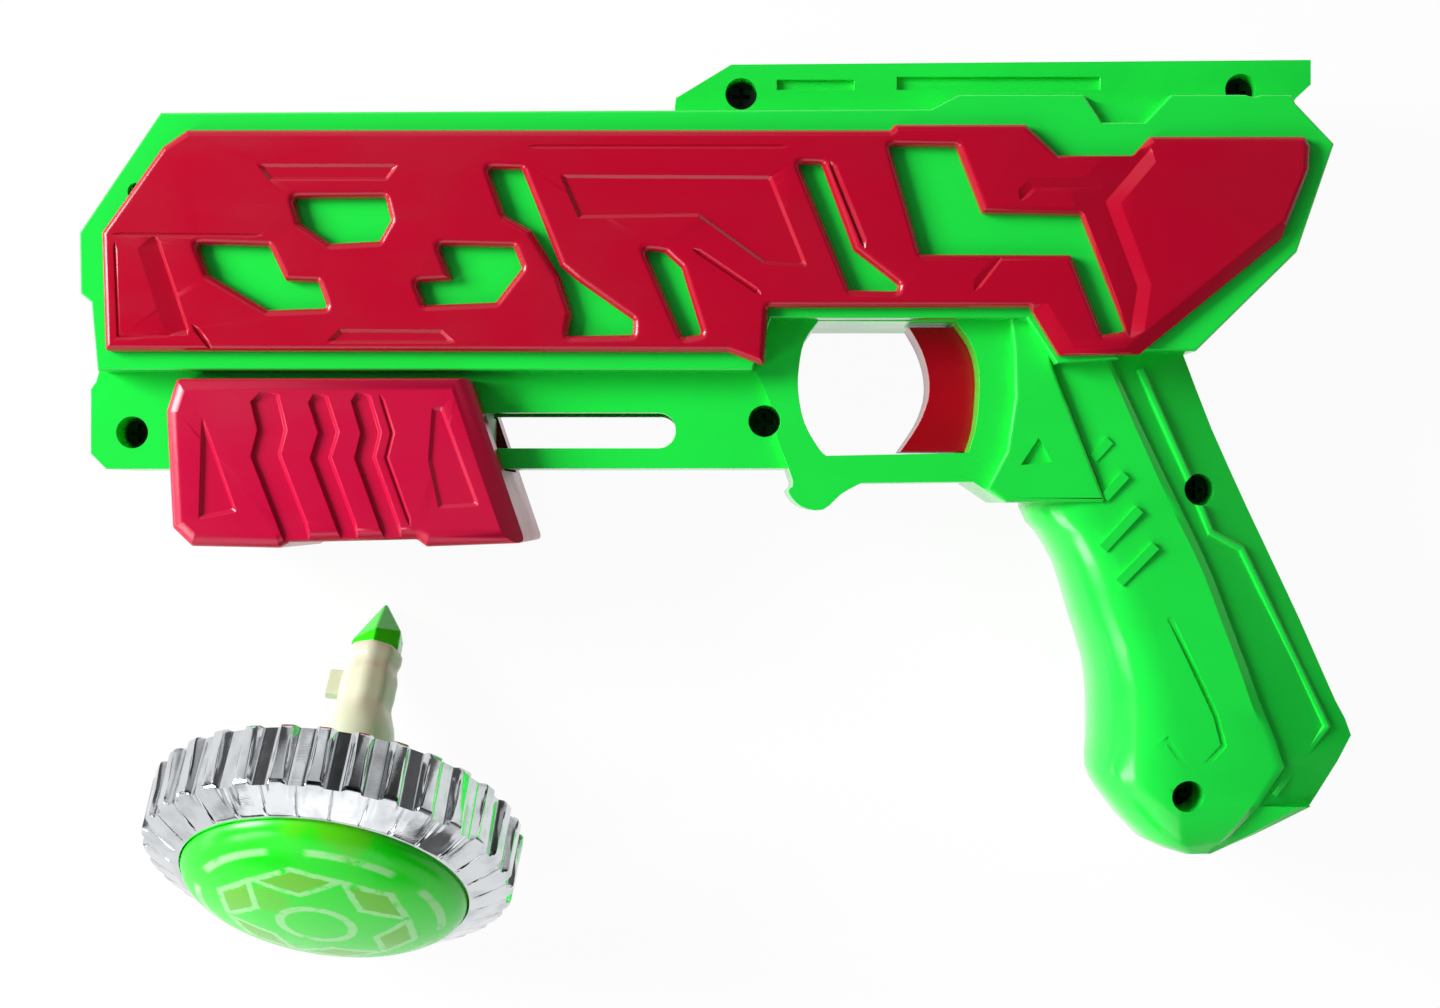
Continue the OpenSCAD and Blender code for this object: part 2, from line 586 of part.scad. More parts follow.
// Ribs and bosses that stand inside one half; on the rack's side they leave it room
module shell_inside(rack_side) {
    deep = housing_half - wall / 2;
    low = rack_side ? -rack_z1 - slide_gap : deep;
    for (x = [front_rib_x, rear_rib_x]) translate([x, 0, 0]) rotate([90, 0, 90])
        linear_extrude(rib_t) {
            translate([rib_low_y, 0]) square([rib_top_y - rib_low_y, low]);
            translate([rack_clear_y, 0]) square([rib_top_y - rack_clear_y, deep]);
        }
    for (s = rod_guides_shares) translate([plan(s), rack_clear_y, 0])
        cube([rib_t, rib_top_y - rack_clear_y, deep]);
    translate([rod_spring_x0 - rib_t, rack_clear_y, 0])
        cube([rib_t, rib_top_y - rack_clear_y, deep]);
    translate([pump_spring_x1, plate_bottom_y + wall / 2, 0])
        cube([rib_t, housing_floor_y + wall - plate_bottom_y, plate_half - wall / 2]);
    translate([lever_x, lever_y, lever_half + lever_boss_gap])
        cylinder(r = lever_hub_r, h = deep - lever_half - lever_boss_gap);
    for (i = [2 : len(screws_shares) - 1]) translate(concat(plan(screws_shares[i]), 0))
        cylinder(r = screw_boss_r,
            h = i < 4 ? plate_half - wall / 2 : grip_hollow_half + wall / 2);
}

// Bores shared by both halves
module shell_bores() {
    along_x(muzzle_x - chuck_r, socket_x1 - wall, chuck_r + slide_gap);
    along_x(front_rib_x - over, front_rib_x + rib_t + over, bush_r);
    along_x(rear_rib_x - over, rear_rib_x + rib_t + over, bush_r);
    along_x(plan(rod_guides_shares[0]) - over, plan(rod_guides_shares[1]) + rib_t + over,
        rod_r + run_gap);
    translate([lever_x, lever_y, 0]) cylinder(r = lever_pin_r, h = housing_half - wall);
    slot_cut();
    translate([0, 0, -over]) linear_extrude(housing_half + 2 * over)
        polygon(plan(guard_opening_shares));
    for (p = cover_pegs_shares) translate(concat(plan(p), housing_half - wall - over))
        cylinder(r = cover_peg_r + cover_peg_gap, h = wall + 2 * over);
}

// Sunk panels and lines on the outside
module shell_relief() {
    slab(notch_sink_shares, housing_half - notch_sink_depth, housing_half + over);
    slab(bracket_pit_shares, bracket_half - relief_depth, bracket_half + over);
    for (r = rail_sinks_shares)
        translate(concat(plan(r[0]), rail_half - rail_sink_depth))
            cube(concat(plan(r[1] - r[0]), rail_sink_depth + over));
    translate([0, 0, swell_z(grip_panel_station) - grip_line_depth]) linear_extrude(grip_half)
        polygon(ribbon(plan(grip_panel_shares), grip_line_w));
}

module shell_half(rack_side) {
    difference() {
        union() {
            difference() {
                shell_outside();
                shell_cavity();
            }
            shell_inside(rack_side);
        }
        shell_bores();
        shell_relief();
    }
}

module left_shell() {
    color(green) lay() difference() {
        shell_half(false);
        for (p = screws_shares) translate(concat(plan(p), 0)) {
            translate([0, 0, -over]) cylinder(r = screw_r + screw_hole_gap / 2,
                h = screw_seat_z + 2 * over);
            translate([0, 0, screw_seat_z]) cylinder(r = screw_head_r + screw_hole_gap,
                h = housing_half);
        }
    }
}

module right_shell() {
    pilot = screw_l - screw_seat_z + over;
    color(green) lay() difference() {
        union() {
            mirror([0, 0, 1]) shell_half(true);
            translate([drive_x, 0, -housing_half + wall / 2])
                cylinder(r = gear_shoulder_r,
                    h = housing_half - wall / 2 + pinion_end_z - gear_end_gap);
        }
        for (p = screws_shares) translate(concat(plan(p), -pilot))
            cylinder(r = screw_r, h = pilot + over);
        translate([drive_x, 0, -housing_half - over]) cylinder(r = axle_r, h = housing_half);
    }
}

module cover() {
    difference() {
        bevelled(cover_shares, housing_half, half_w, cover_bevel);
        for (w = cover_windows_shares) bevelled_cut(w, housing_half, half_w, cover_bevel);
        for (p = cover_panels_shares) slab(p, half_w - relief_depth, half_w + over);
        for (l = cover_lines_shares)
            translate([0, 0, half_w - relief_depth]) linear_extrude(relief_depth + over)
                polygon(ribbon(plan(l), cover_line_w));
    }
    for (p = cover_pegs_shares) translate(concat(plan(p), housing_half - wall))
        cylinder(r = cover_peg_r, h = wall + cover_t / 2);
}

module left_cover() {
    color(crimson) lay() cover();
}

module right_cover() {
    color(crimson) lay() mirror([0, 0, 1]) cover();
}

// One half of the pump, from the parting plane outwards
module pump_half_solid() {
    channel_y = plate_bottom_y - slide_gap;
    difference() {
        bevelled(pump_shares, 0, pump_half, pump_bevel);
        translate([-gun_l, channel_y, -over])
            cube([gun_l, housing_floor_y - channel_y, plate_half + slide_gap + over]);
        translate([0, 0, -over]) linear_extrude(pump_half - wall + over) difference() {
            intersection() {
                offset(delta = -wall) polygon(plan(pump_shares));
                translate([-gun_l, channel_y - wall - gun_l]) square(gun_l);
            }
            for (p = pump_screws_shares) translate(plan(p)) circle(r = screw_boss_r);
        }
        for (r = pump_ribs_shares)
            translate([0, 0, pump_half - relief_depth]) linear_extrude(relief_depth + over)
                polygon(ribbon(plan(r), pump_rib_w));
        for (p = pump_pits_shares) slab(p, pump_half - relief_depth, pump_half + over);
    }
}

module pump_left() {
    pilot = screw_l - screw_seat_z + over;
    color(crimson) lay() difference() {
        pump_half_solid();
        for (p = pump_screws_shares) translate(concat(plan(p), -over))
            cylinder(r = screw_r, h = pilot + over);
    }
}

module pump_right() {
    color(crimson) lay() mirror([0, 0, 1]) difference() {
        pump_half_solid();
        for (p = pump_screws_shares) translate(concat(plan(p), 0)) {
            translate([0, 0, -over]) cylinder(r = screw_r + screw_hole_gap / 2,
                h = screw_seat_z + 2 * over);
            translate([0, 0, screw_seat_z]) cylinder(r = screw_head_r + screw_hole_gap,
                h = pump_half);
        }
    }
}

// Slider that joins the pump to the rack: a bar in the slot, a web and a flange
module pump_carriage() {
    bar_h = slot_h - 2 * carriage_gap;
    reach = plate_half + slide_gap;
    length = carriage_x1 - carriage_x0;
    rack_x0 = drive_x - rack_teeth_ahead * tooth_pitch;
    color(white_part) lay() {
        translate([carriage_x0, slot_y - bar_h / 2, -reach]) cube([length, bar_h, 2 * reach]);
        translate([carriage_x0, slot_y, -carriage_half])
            cube([length, flange_top_y - slot_y, 2 * carriage_half]);
        translate([rack_x0, flange_bottom_y, rack_z0])
            cube([carriage_x1 - rack_x0, flange_top_y - flange_bottom_y,
                carriage_half - rack_z0]);
        translate([rack_x0, flange_bottom_y, rack_z0])
            cube([carriage_x1 - rack_x0, rack_bottom_y - flange_bottom_y, rack_z1 - rack_z0]);
    }
}

module rack() {
    x0 = drive_x - rack_teeth_ahead * tooth_pitch;
    x1 = drive_x + rack_teeth_after * tooth_pitch;
    color(white_part) lay() translate([0, 0, rack_z0]) linear_extrude(rack_z1 - rack_z0) {
        translate([x0, rack_bottom_y]) square([x1 - x0, rack_body_t]);
        for (k = [-rack_teeth_ahead : rack_teeth_after - 1])
            translate([drive_x + (k + 1 / 2) * tooth_pitch, rack_pitch_y])
                rack_tooth(dedendum + over * gear_module);
    }
}

module drive_gear() {
    color(white_part) lay() difference() {
        translate([drive_x, 0, 0]) {
            translate([0, 0, pinion_end_z]) linear_extrude(pinion_face + crown_disc_t / 2)
                rotate([0, 0, -90]) spur(rack_pinion_teeth);
            translate([0, 0, crown_back_z]) cylinder(r = crown_rim_r, h = crown_disc_t);
            for (k = [0 : crown_teeth - 1]) rotate([0, 0, 360 * (k + 1 / 2) / crown_teeth])
                translate([crown_r - crown_face / 2, 0, -spindle_pinion_r])
                    rotate([90, 0, 90]) linear_extrude(crown_face)
                        rack_tooth(dedendum + crown_disc_t / 4);
        }
        translate([drive_x, 0, pinion_end_z - over])
            cylinder(r = axle_r + run_gap, h = pinion_face + crown_disc_t + 2 * over);
    }
}

module gear_axle() {
    color(steel) lay() translate([drive_x, 0, -housing_half])
        cylinder(r = axle_r, h = housing_half + crown_root_z + gear_end_gap + clip_t);
}

module axle_clip() {
    color(dark_steel) lay() translate([drive_x, 0, crown_root_z + gear_end_gap])
        difference() {
            cylinder(r = clip_r, h = clip_t);
            translate([0, 0, -over]) cylinder(r = axle_r, h = clip_t + 2 * over);
        }
}

module spindle() {
    color(white_part) lay() difference() {
        union() {
            along_x(socket_x1, spindle_x1, spindle_r);
            along_x(spindle_x1 - bush_flange_t, spindle_x1, spindle_collar_r);
            translate([spindle_pinion_x0, 0, 0]) rotate([0, 90, 0])
                linear_extrude(crown_face) spur(spindle_teeth);
        }
        along_x(socket_x1 - over, spindle_x1 + over, rod_r + run_gap);
    }
}

// Chuck that turns the top: a socket with two key slots in its rim
module chuck() {
    color(white_part) lay() difference() {
        along_x(muzzle_x, chuck_x1, chuck_r);
        along_x(muzzle_x - over, socket_x1, socket_r);
        along_x(socket_x1 - over, chuck_x1 + over, spindle_r);
        translate([muzzle_x - over, -chuck_r - over, -chuck_key_w / 2])
            cube([chuck_key_l + over, 2 * (chuck_r + over), chuck_key_w]);
    }
}

module bush(x) {
    color(brass) lay() difference() {
        union() {
            along_x(x - bush_flange_t, x + rib_t + bush_flange_t, bush_r);
            along_x(x - bush_flange_t, x, bush_flange_r);
            along_x(x + rib_t, x + rib_t + bush_flange_t, bush_flange_r);
        }
        along_x(x - bush_flange_t - over, x + rib_t + bush_flange_t + over,
            spindle_r + run_gap);
    }
}

module front_bush() {
    bush(front_rib_x);
}

module rear_bush() {
    bush(rear_rib_x);
}

module ejector_rod() {
    color(steel) lay() {
        along_x(rod_x0, rod_x1, rod_r);
        along_x(rod_collar_x, rod_collar_x + rod_collar_t, rod_collar_r);
    }
}

module ejector_spring() {
    color(steel) lay() coil(rod_spring_x0, rod_collar_x, rod_spring_r, rod_spring_turns, 0);
}

module pump_spring() {
    color(steel) lay()
        coil(carriage_x1, pump_spring_x1, pump_spring_r, pump_spring_turns, pump_spring_y);
}

module trigger_spring() {
    color(steel) lay() coil(trigger_rear_x, bay_rear_x, trigger_spring_r,
        trigger_spring_turns, trigger_spring_y);
}

module release_lever() {
    color(white_part) lay() translate([lever_x, lever_y, -lever_half])
        linear_extrude(2 * lever_half) difference() {
            union() {
                circle(r = lever_hub_r);
                hull() {
                    circle(r = lever_end_r);
                    translate([0, -lever_low_arm]) circle(r = lever_end_r);
                }
                hull() {
                    circle(r = lever_end_r);
                    translate([0, lever_high_arm]) circle(r = lever_tip_r);
                }
            }
            circle(r = lever_pin_r + run_gap);
        }
}

module lever_pin() {
    reach = housing_half - wall;
    color(steel) lay() translate([lever_x, lever_y, -reach])
        cylinder(r = lever_pin_r, h = 2 * reach);
}

module trigger() {
    color([0.65, 0.02, 0.1]) lay() {
        slab(trigger_shares, -trigger_half, trigger_half);
        slab(trigger_nose_shares, -lever_half, lever_half);
        slab(trigger_flange_shares, -trigger_flange_half, trigger_flange_half);
    }
}

// Screw with a cross recess, its head up and its seat at zero
module screw() {
    difference() {
        union() {
            translate([0, 0, -screw_l]) cylinder(r = screw_r, h = screw_l + over);
            cylinder(r = screw_head_r, h = screw_head_h);
        }
        translate([0, 0, screw_head_h - screw_cross_depth / 2])
            for (a = [0, 90]) rotate([0, 0, a])
                cube([1.3 * screw_head_r, screw_cross_w, screw_cross_depth + over / 2],
                    center = true);
    }
}

module body_screws() {
    color(dark_steel) lay() for (p = screws_shares)
        translate(concat(plan(p), screw_seat_z)) screw();
}

module pump_screws() {
    color(dark_steel) lay() mirror([0, 0, 1]) for (p = pump_screws_shares)
        translate(concat(plan(p), screw_seat_z)) screw();
}

// Lays the top on its back rim and its tip
module lay_top() {
    translate(concat(top_tip_at, 0)) rotate([0, 90 + top_lean, 90 - top_heading])
        translate([0, 0, -stem_l]) children();
}

// Plan of the fluted ring: lands with sunk flutes between them
function ring_plan() = [for (k = [0 : flutes - 1]) for (s = flute_section_shares)
    let (a = 360 * (k - 1 / 2 + s[0] + 1 / 8) / flutes,
         r = ring_r * (1 - flute_depth_share * (1 - s[1]))) r * [cos(a), sin(a)]];

module top_ring() {
    front_z = -ring_h - ring_bevel_h;
    color([0.8, 0.82, 0.84]) lay_top() difference() {
        intersection() {
            translate([0, 0, front_z]) linear_extrude(ring_h + ring_bevel_h)
                polygon(ring_plan());
            rotate_extrude() polygon([[0, 0], [ring_r, 0], [ring_r - ring_draft, -ring_h],
                [ring_mouth_r + ring_lip, front_z], [0, front_z]]);
        }
        translate([0, 0, front_z - over]) cylinder(r = ring_mouth_r,
            h = ring_h + ring_bevel_h + 2 * over);
    }
}

module top_dome() {
    front_z = -ring_h - ring_bevel_h;
    color([0.3, 0.82, 0.2]) lay_top() rotate_extrude() polygon(concat(
        [[0, -ring_h / 2], [ring_mouth_r, -ring_h / 2]],
        [for (i = [0 : dome_steps]) let (a = 90 * i / dome_steps)
            [ring_mouth_r * cos(a), front_z - dome_h * sin(a)]]));
}

module top_base() {
    color([0.16, 0.62, 0.14]) lay_top() {
        translate([0, 0, -base_depth - base_t]) cylinder(r = ring_mouth_r, h = base_t);
        translate([0, 0, -base_depth - over]) cylinder(r1 = hub_r, r2 = stem_base_r,
            h = hub_h + over);
    }
}

// Stem: a flared foot, a waist, two knobs and a driving lug
module top_stem() {
    z0 = hub_h - base_depth;
    z1 = stem_l - tip_l;
    h = z1 - z0;
    profile_shares = [[0, 1.6], [0.25, 1.5], [0.45, 1.38], [0.56, 1.16], [0.62, 1.06],
        [0.67, 1.12], [0.82, 1.1], [0.86, 1], [0.9, 1], [0.93, 1.08], [1, 1.08]];
    color(white_part) lay_top() {
        rotate_extrude() polygon(concat([[0, z0]],
            [for (s = profile_shares) [s[1] * stem_waist_r, z0 + s[0] * h]],
            [[0, z1]]));
        translate([-stem_lug[0] / 2, 0, z0 + stem_lug_share * h]) cube(stem_lug);
    }
}

module top_tip() {
    z0 = stem_l - tip_l;
    color([0.2, 0.8, 0.12]) lay_top() hull() {
        for (k = [0 : tip_sides - 1]) rotate([0, 0, 360 * k / tip_sides]) {
            translate([stem_waist_r, 0, z0]) cylinder(r = over / 2, h = over, $fn = 6);
            translate([stem_r - over, 0, z0 + tip_l * tip_cut_shares[k] / 3])
                cylinder(r = over / 2, h = over, $fn = 6);
        }
        translate([0, 0, stem_l - over]) cylinder(r1 = over / 2, r2 = 0, h = over, $fn = 6);
    }
}

left_shell();
right_shell();
left_cover();
right_cover();
pump_left();
pump_right();
pump_carriage();
pump_screws();
pump_spring();
rack();
drive_gear();
gear_axle();
axle_clip();
spindle();
chuck();
front_bush();
rear_bush();
ejector_rod();
ejector_spring();
release_lever();
lever_pin();
trigger();
trigger_spring();
body_screws();
top_ring();
top_dome();
top_base();
top_stem();
top_tip();
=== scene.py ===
"""Looks of the spinning top launcher and its top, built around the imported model.

The scene is in metres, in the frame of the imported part: +X towards the tail, +Y towards the
rail, +Z out of the left-hand side, with the table at zero. Each sub-assembly is a class that
holds its sizes in millimetres, builds its meshes and dresses them.
"""

import json
import logging
import math
from contextlib import contextmanager
from dataclasses import dataclass
from enum import Enum
from typing import Callable, Iterable, Iterator, Optional, Sequence, Union

import bmesh
import bpy
import numpy as np
from mathutils import Matrix, Vector

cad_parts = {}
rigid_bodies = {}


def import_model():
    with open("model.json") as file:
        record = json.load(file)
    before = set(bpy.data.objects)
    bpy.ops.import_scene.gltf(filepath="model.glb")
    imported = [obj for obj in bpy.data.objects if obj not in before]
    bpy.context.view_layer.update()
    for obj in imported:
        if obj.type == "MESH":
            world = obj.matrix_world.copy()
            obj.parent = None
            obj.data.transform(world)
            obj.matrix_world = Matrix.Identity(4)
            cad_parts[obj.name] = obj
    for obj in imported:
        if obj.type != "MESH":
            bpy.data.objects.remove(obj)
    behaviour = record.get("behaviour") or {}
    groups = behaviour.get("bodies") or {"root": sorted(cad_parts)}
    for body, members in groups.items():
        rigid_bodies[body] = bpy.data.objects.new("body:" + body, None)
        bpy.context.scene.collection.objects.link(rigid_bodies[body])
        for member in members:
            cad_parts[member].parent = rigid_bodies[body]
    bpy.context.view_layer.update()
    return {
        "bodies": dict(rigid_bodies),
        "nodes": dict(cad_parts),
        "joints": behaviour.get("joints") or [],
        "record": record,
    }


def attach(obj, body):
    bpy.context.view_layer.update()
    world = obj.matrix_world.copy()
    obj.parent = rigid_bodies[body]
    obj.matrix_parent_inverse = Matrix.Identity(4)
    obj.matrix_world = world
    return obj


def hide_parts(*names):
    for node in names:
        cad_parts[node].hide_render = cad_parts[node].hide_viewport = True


LOG = logging.getLogger("launcher")
MM = 0.001
# Height of the launcher's middle plane, and from there to the face of its covers, in millimetres
MIDDLE = 18.0
HALF = 18.0
# Distances within which corners are merged, or count as level, in metres
WELD = 1e-6
TOOL_WELD = 2e-6
CAD_WELD = 4e-6
LEVEL_SLACK = 2e-5
NORMAL_WEIGHT = 60
Colour = tuple[float, float, float, float]
Pair = tuple[float, float]
Pairs = tuple[Pair, ...]
Triple = tuple[float, float, float]
Socket = bpy.types.NodeSocket
Source = Union[Socket, float, Sequence[float]]


class Body(str, Enum):
    """Bodies of the record that the scene's own pieces ride on."""

    HOUSING = "housing"
    PUMP = "pump"
    SPINDLE = "spindle"
    TRIGGER = "trigger"
    TOP = "top"


def tone(red: int, green: int, blue: int) -> Colour:
    """Linear colour of a display colour.

    Args:
        red: Red from 0 to 255.
        green: Green from 0 to 255.
        blue: Blue from 0 to 255.

    Returns:
        The colour with an alpha of one.
    """
    values = np.array([red, green, blue]) / 255
    linear = np.where(values <= 0.04045, values / 12.92, ((values + 0.055) / 1.055) ** 2.4)
    return (float(linear[0]), float(linear[1]), float(linear[2]), 1.0)


# Shader nodes


class Graph:
    """Short way to place and join the nodes of one tree."""

    def __init__(self, tree: bpy.types.NodeTree) -> None:
        """Works on a tree."""
        self.tree = tree

    def node(self, kind: str, **settings: object) -> bpy.types.Node:
        """New node of a kind, with its properties set."""
        made = self.tree.nodes.new(kind)
        for key, value in settings.items():
            setattr(made, key, value)
        return made

    def first(self, kind: str) -> bpy.types.Node:
        """First node of a type in the tree."""
        return next(n for n in self.tree.nodes if n.type == kind)

    def put(self, socket: Socket, value: Source) -> None:
        """Joins a socket to another, or sets its number or colour."""
        if isinstance(value, Socket):
            self.tree.links.new(value, socket)
        else:
            socket.default_value = value

    def fill(self, node: bpy.types.Node, values: dict[Union[str, int], Source]) -> bpy.types.Node:
        """Joins or sets inputs of a node, found by name or number."""
        for key, value in values.items():
            self.put(node.inputs[key], value)
        return node

    def math(self, operation: str, a: Source, b: Source = 0.0) -> Socket:
        """Result of a Math node."""
        return self.fill(self.node("ShaderNodeMath", operation=operation), {0: a, 1: b}).outputs[0]

    def times(self, a: Source, b: Source) -> Socket:
        """Product of two values."""
        return self.math("MULTIPLY", a, b)

    def plus(self, a: Source, b: Source) -> Socket:
        """Sum of two values."""
        return self.math("ADD", a, b)

    def minus(self, a: Source, b: Source) -> Socket:
        """First value less the second."""
        return self.math("SUBTRACT", a, b)

    def most(self, a: Source, b: Source) -> Socket:
        """Larger of two values."""
        return self.math("MAXIMUM", a, b)

    def mix(self, factor: Source, a: Source, b: Source) -> Socket:
        """Colour between a and b."""
        return self.fill(self.node("ShaderNodeMix", data_type="RGBA"), {0: factor, 6: a, 7: b}).outputs[2]

    def noise(self, vector: Source, scale: Source, detail: float = 3.0) -> Socket:
        """Noise value of a point."""
        values = {"Vector": vector, "Scale": scale, "Detail": detail}
        return self.fill(self.node("ShaderNodeTexNoise"), values).outputs["Fac"]

    def span(self, value: Source, low: float, high: float, to_low: float = 0.0,
             to_high: float = 1.0) -> Socket:
        """Value mapped smoothly from one range to another."""
        made = self.node("ShaderNodeMapRange", interpolation_type="SMOOTHSTEP")
        ranges = {"Value": value, "From Min": low, "From Max": high, "To Min": to_low, "To Max": to_high}
        return self.fill(made, ranges).outputs["Result"]

    def within(self, value: Source, inner: float, outer: float) -> Socket:
        """One up to an inner bound, zero from an outer one, and smooth between them."""
        return self.span(value, inner, outer, 1.0, 0.0)

    def stretched(self, vector: Source, scale: Sequence[float]) -> Socket:
        """Point with each coordinate multiplied."""
        made = self.fill(self.node("ShaderNodeMapping"), {"Vector": vector, "Scale": scale})
        return made.outputs["Vector"]

    def parts(self, vector: Source) -> bpy.types.NodeOutputs:
        """Coordinates X, Y and Z of a point."""
        return self.fill(self.node("ShaderNodeSeparateXYZ"), {0: vector}).outputs


class EffectGroup:
    """A shader node group that several finishes share."""

    name = "effect"
    inputs: tuple[tuple[str, str, object], ...] = ()
    outputs: tuple[tuple[str, str], ...] = (
        ("Colour", "NodeSocketColor"), ("Roughness", "NodeSocketFloat"), ("Height", "NodeSocketFloat"))

    def tree(self) -> bpy.types.NodeTree:
        """The group's tree, built at its first use."""
        found = bpy.data.node_groups.get(self.name)
        if found:
            return found
        tree = bpy.data.node_groups.new(self.name, "ShaderNodeTree")
        for label, kind, value in self.inputs:
            tree.interface.new_socket(name=label, in_out="INPUT", socket_type=kind).default_value = value
        for label, kind in self.outputs:
            tree.interface.new_socket(name=label, in_out="OUTPUT", socket_type=kind)
        graph = Graph(tree)
        entry, leave = graph.node("NodeGroupInput"), graph.node("NodeGroupOutput")
        graph.fill(leave, self.wire(graph, entry.outputs))
        return tree

    def wire(self, graph: Graph, given: bpy.types.NodeOutputs) -> dict[str, Source]:
        """Nodes of the group: from its inputs to the values of its outputs."""
        raise NotImplementedError

    def use(self, graph: Graph, **values: Source) -> bpy.types.NodeOutputs:
        """Places the group in a material.

        Args:
            graph: Graph of the material.
            **values: Inputs by name.

        Returns:
            The outputs of the placed group.
        """
        return graph.fill(graph.node("ShaderNodeGroup", node_tree=self.tree()), values).outputs


class MouldSkin(EffectGroup):
    """Moulded plastic: broad mottle, flow marks from the gate, and a fine surface grain."""

    name = "mould_skin"
    inputs = (
        ("Point", "NodeSocketVector", (0, 0, 0)),
        ("Colour", "NodeSocketColor", (1, 1, 1, 1)),
        ("Shade", "NodeSocketColor", (0, 0, 0, 1)),
        ("Mottle", "NodeSocketFloat", 0.3),
        ("Polish", "NodeSocketFloat", 0.2),
        ("Haze", "NodeSocketFloat", 0.15),
    )
    mottle_scale = 38.0
    flow_scale = 120.0
    flow_stretch = (0.25, 1.6, 1.0)
    broad_share = 0.65
    grain_scale = 2600.0
    grain_share = 0.3
    dimple_scale = 420.0

    def wire(self, graph: Graph, given: bpy.types.NodeOutputs) -> dict[str, Source]:
        """Mottle tints the colour, flow marks and haze change the gloss, grain lifts the skin."""
        point = given["Point"]
        broad = graph.span(graph.noise(point, self.mottle_scale, 2.0), 0.35, 0.7)
        streaks = graph.noise(graph.stretched(point, self.flow_stretch), self.flow_scale, 4.0)
        flow = graph.times(graph.span(streaks, 0.4, 0.75), 1 - self.broad_share)
        cloud = graph.plus(graph.times(broad, self.broad_share), flow)
        grain = graph.times(graph.noise(point, self.grain_scale, 2.0), self.grain_share)
        tint = graph.times(cloud, given["Mottle"])
        return {"Colour": graph.mix(tint, given["Colour"], given["Shade"]),
                "Roughness": graph.plus(given["Polish"], graph.times(given["Haze"], cloud)),
                "Height": graph.plus(grain, graph.noise(point, self.dimple_scale))}


class DrawnLines(EffectGroup):
    """Fine lines that drawing, grinding or plating leaves on metal."""

    name = "drawn_lines"
    inputs = (
        ("Point", "NodeSocketVector", (0, 0, 0)),
        ("Bright", "NodeSocketColor", (1, 1, 1, 1)),
        ("Dull", "NodeSocketColor", (0, 0, 0, 1)),
        ("Polish", "NodeSocketFloat", 0.2),
        ("Spread", "NodeSocketFloat", 0.2),
    )
    line_stretch = (0.05, 1.0, 1.0)
    line_scale = 3800.0
    stain_scale = 260.0
    stain_tint = 0.6

    def wire(self, graph: Graph, given: bpy.types.NodeOutputs) -> dict[str, Source]:
        """Lines are noise stretched along X; stains are broad noise."""
        lines = graph.noise(graph.stretched(given["Point"], self.line_stretch), self.line_scale, 2.0)
        stain = graph.span(graph.noise(given["Point"], self.stain_scale, 4.0), 0.42, 0.72)
        spread = graph.times(given["Spread"], graph.plus(lines, stain))
        return {"Colour": graph.mix(graph.times(stain, self.stain_tint), given["Bright"], given["Dull"]),
                "Roughness": graph.plus(given["Polish"], spread), "Height": lines}


class GenericPrint(EffectGroup):
    """Print of the dome: a broken ring, an inner ring, six outlined lozenges and cloudy patches.

    It is slightly worn, and turned by its shift in radians. Its lengths are shares of the
    dome's radius.
    """

    name = "generic_print"
    inputs = (("Plan", "NodeSocketVector", (0, 0, 0)), ("Point", "NodeSocketVector", (0, 0, 0)))
    outputs = (("Pale", "NodeSocketFloat"), ("Olive", "NodeSocketFloat"), ("Patch", "NodeSocketFloat"))
    half_sector = math.pi / 6
    shift = 9.6
    lozenge_at = 0.56
    lozenge_long = 0.115
    lozenge_high = 0.26
    fuzz = 0.25
    outer_ring = 0.84
    inner_ring = 0.25

    def wire(self, graph: Graph, given: bpy.types.NodeOutputs) -> dict[str, Source]:
        """The plan is folded into six sectors; each holds one lozenge |x - a| / w + y / h < 1."""
        plan, point = graph.parts(given["Plan"]), given["Point"]
        x = graph.times(graph.minus(plan["X"], 0.5), 2.0)
        y = graph.times(graph.minus(plan["Y"], 0.5), 2.0)
        away = graph.math("SQRT", graph.plus(graph.times(x, x), graph.times(y, y)))
        angle = graph.plus(graph.math("ARCTAN2", y, x), self.shift)
        folded = graph.math("PINGPONG", angle, self.half_sector)
        along = graph.minus(graph.times(away, graph.math("COSINE", folded)), self.lozenge_at)
        aside = graph.times(away, graph.math("SINE", folded))
        reach = graph.plus(graph.math("DIVIDE", graph.math("ABSOLUTE", along), self.lozenge_long),
                           graph.math("DIVIDE", aside, self.lozenge_high))
        blur = graph.times(graph.minus(graph.noise(point, 700.0), 0.5), self.fuzz)
        soft = graph.plus(reach, blur)
        outline = graph.times(graph.span(soft, 0.9, 1.02), graph.within(soft, 1.3, 1.46))
        from_outer = graph.math("ABSOLUTE", graph.minus(away, self.outer_ring))
        from_inner = graph.math("ABSOLUTE", graph.minus(away, self.inner_ring))
        band = graph.times(graph.within(from_outer, 0.015, 0.035), graph.span(folded, 0.12, 0.2))
        pale = graph.most(outline, graph.most(band, graph.within(from_inner, 0.02, 0.04)))
        worn = graph.span(graph.noise(point, 330.0, 4.0), 0.3, 0.48)
        return {"Pale": graph.times(pale, worn), "Olive": graph.within(soft, 0.86, 1.0),
                "Patch": graph.span(graph.noise(point, 75.0, 2.0), 0.5, 0.66)}


SKIN, LINES, PRINT = MouldSkin(), DrawnLines(), GenericPrint()


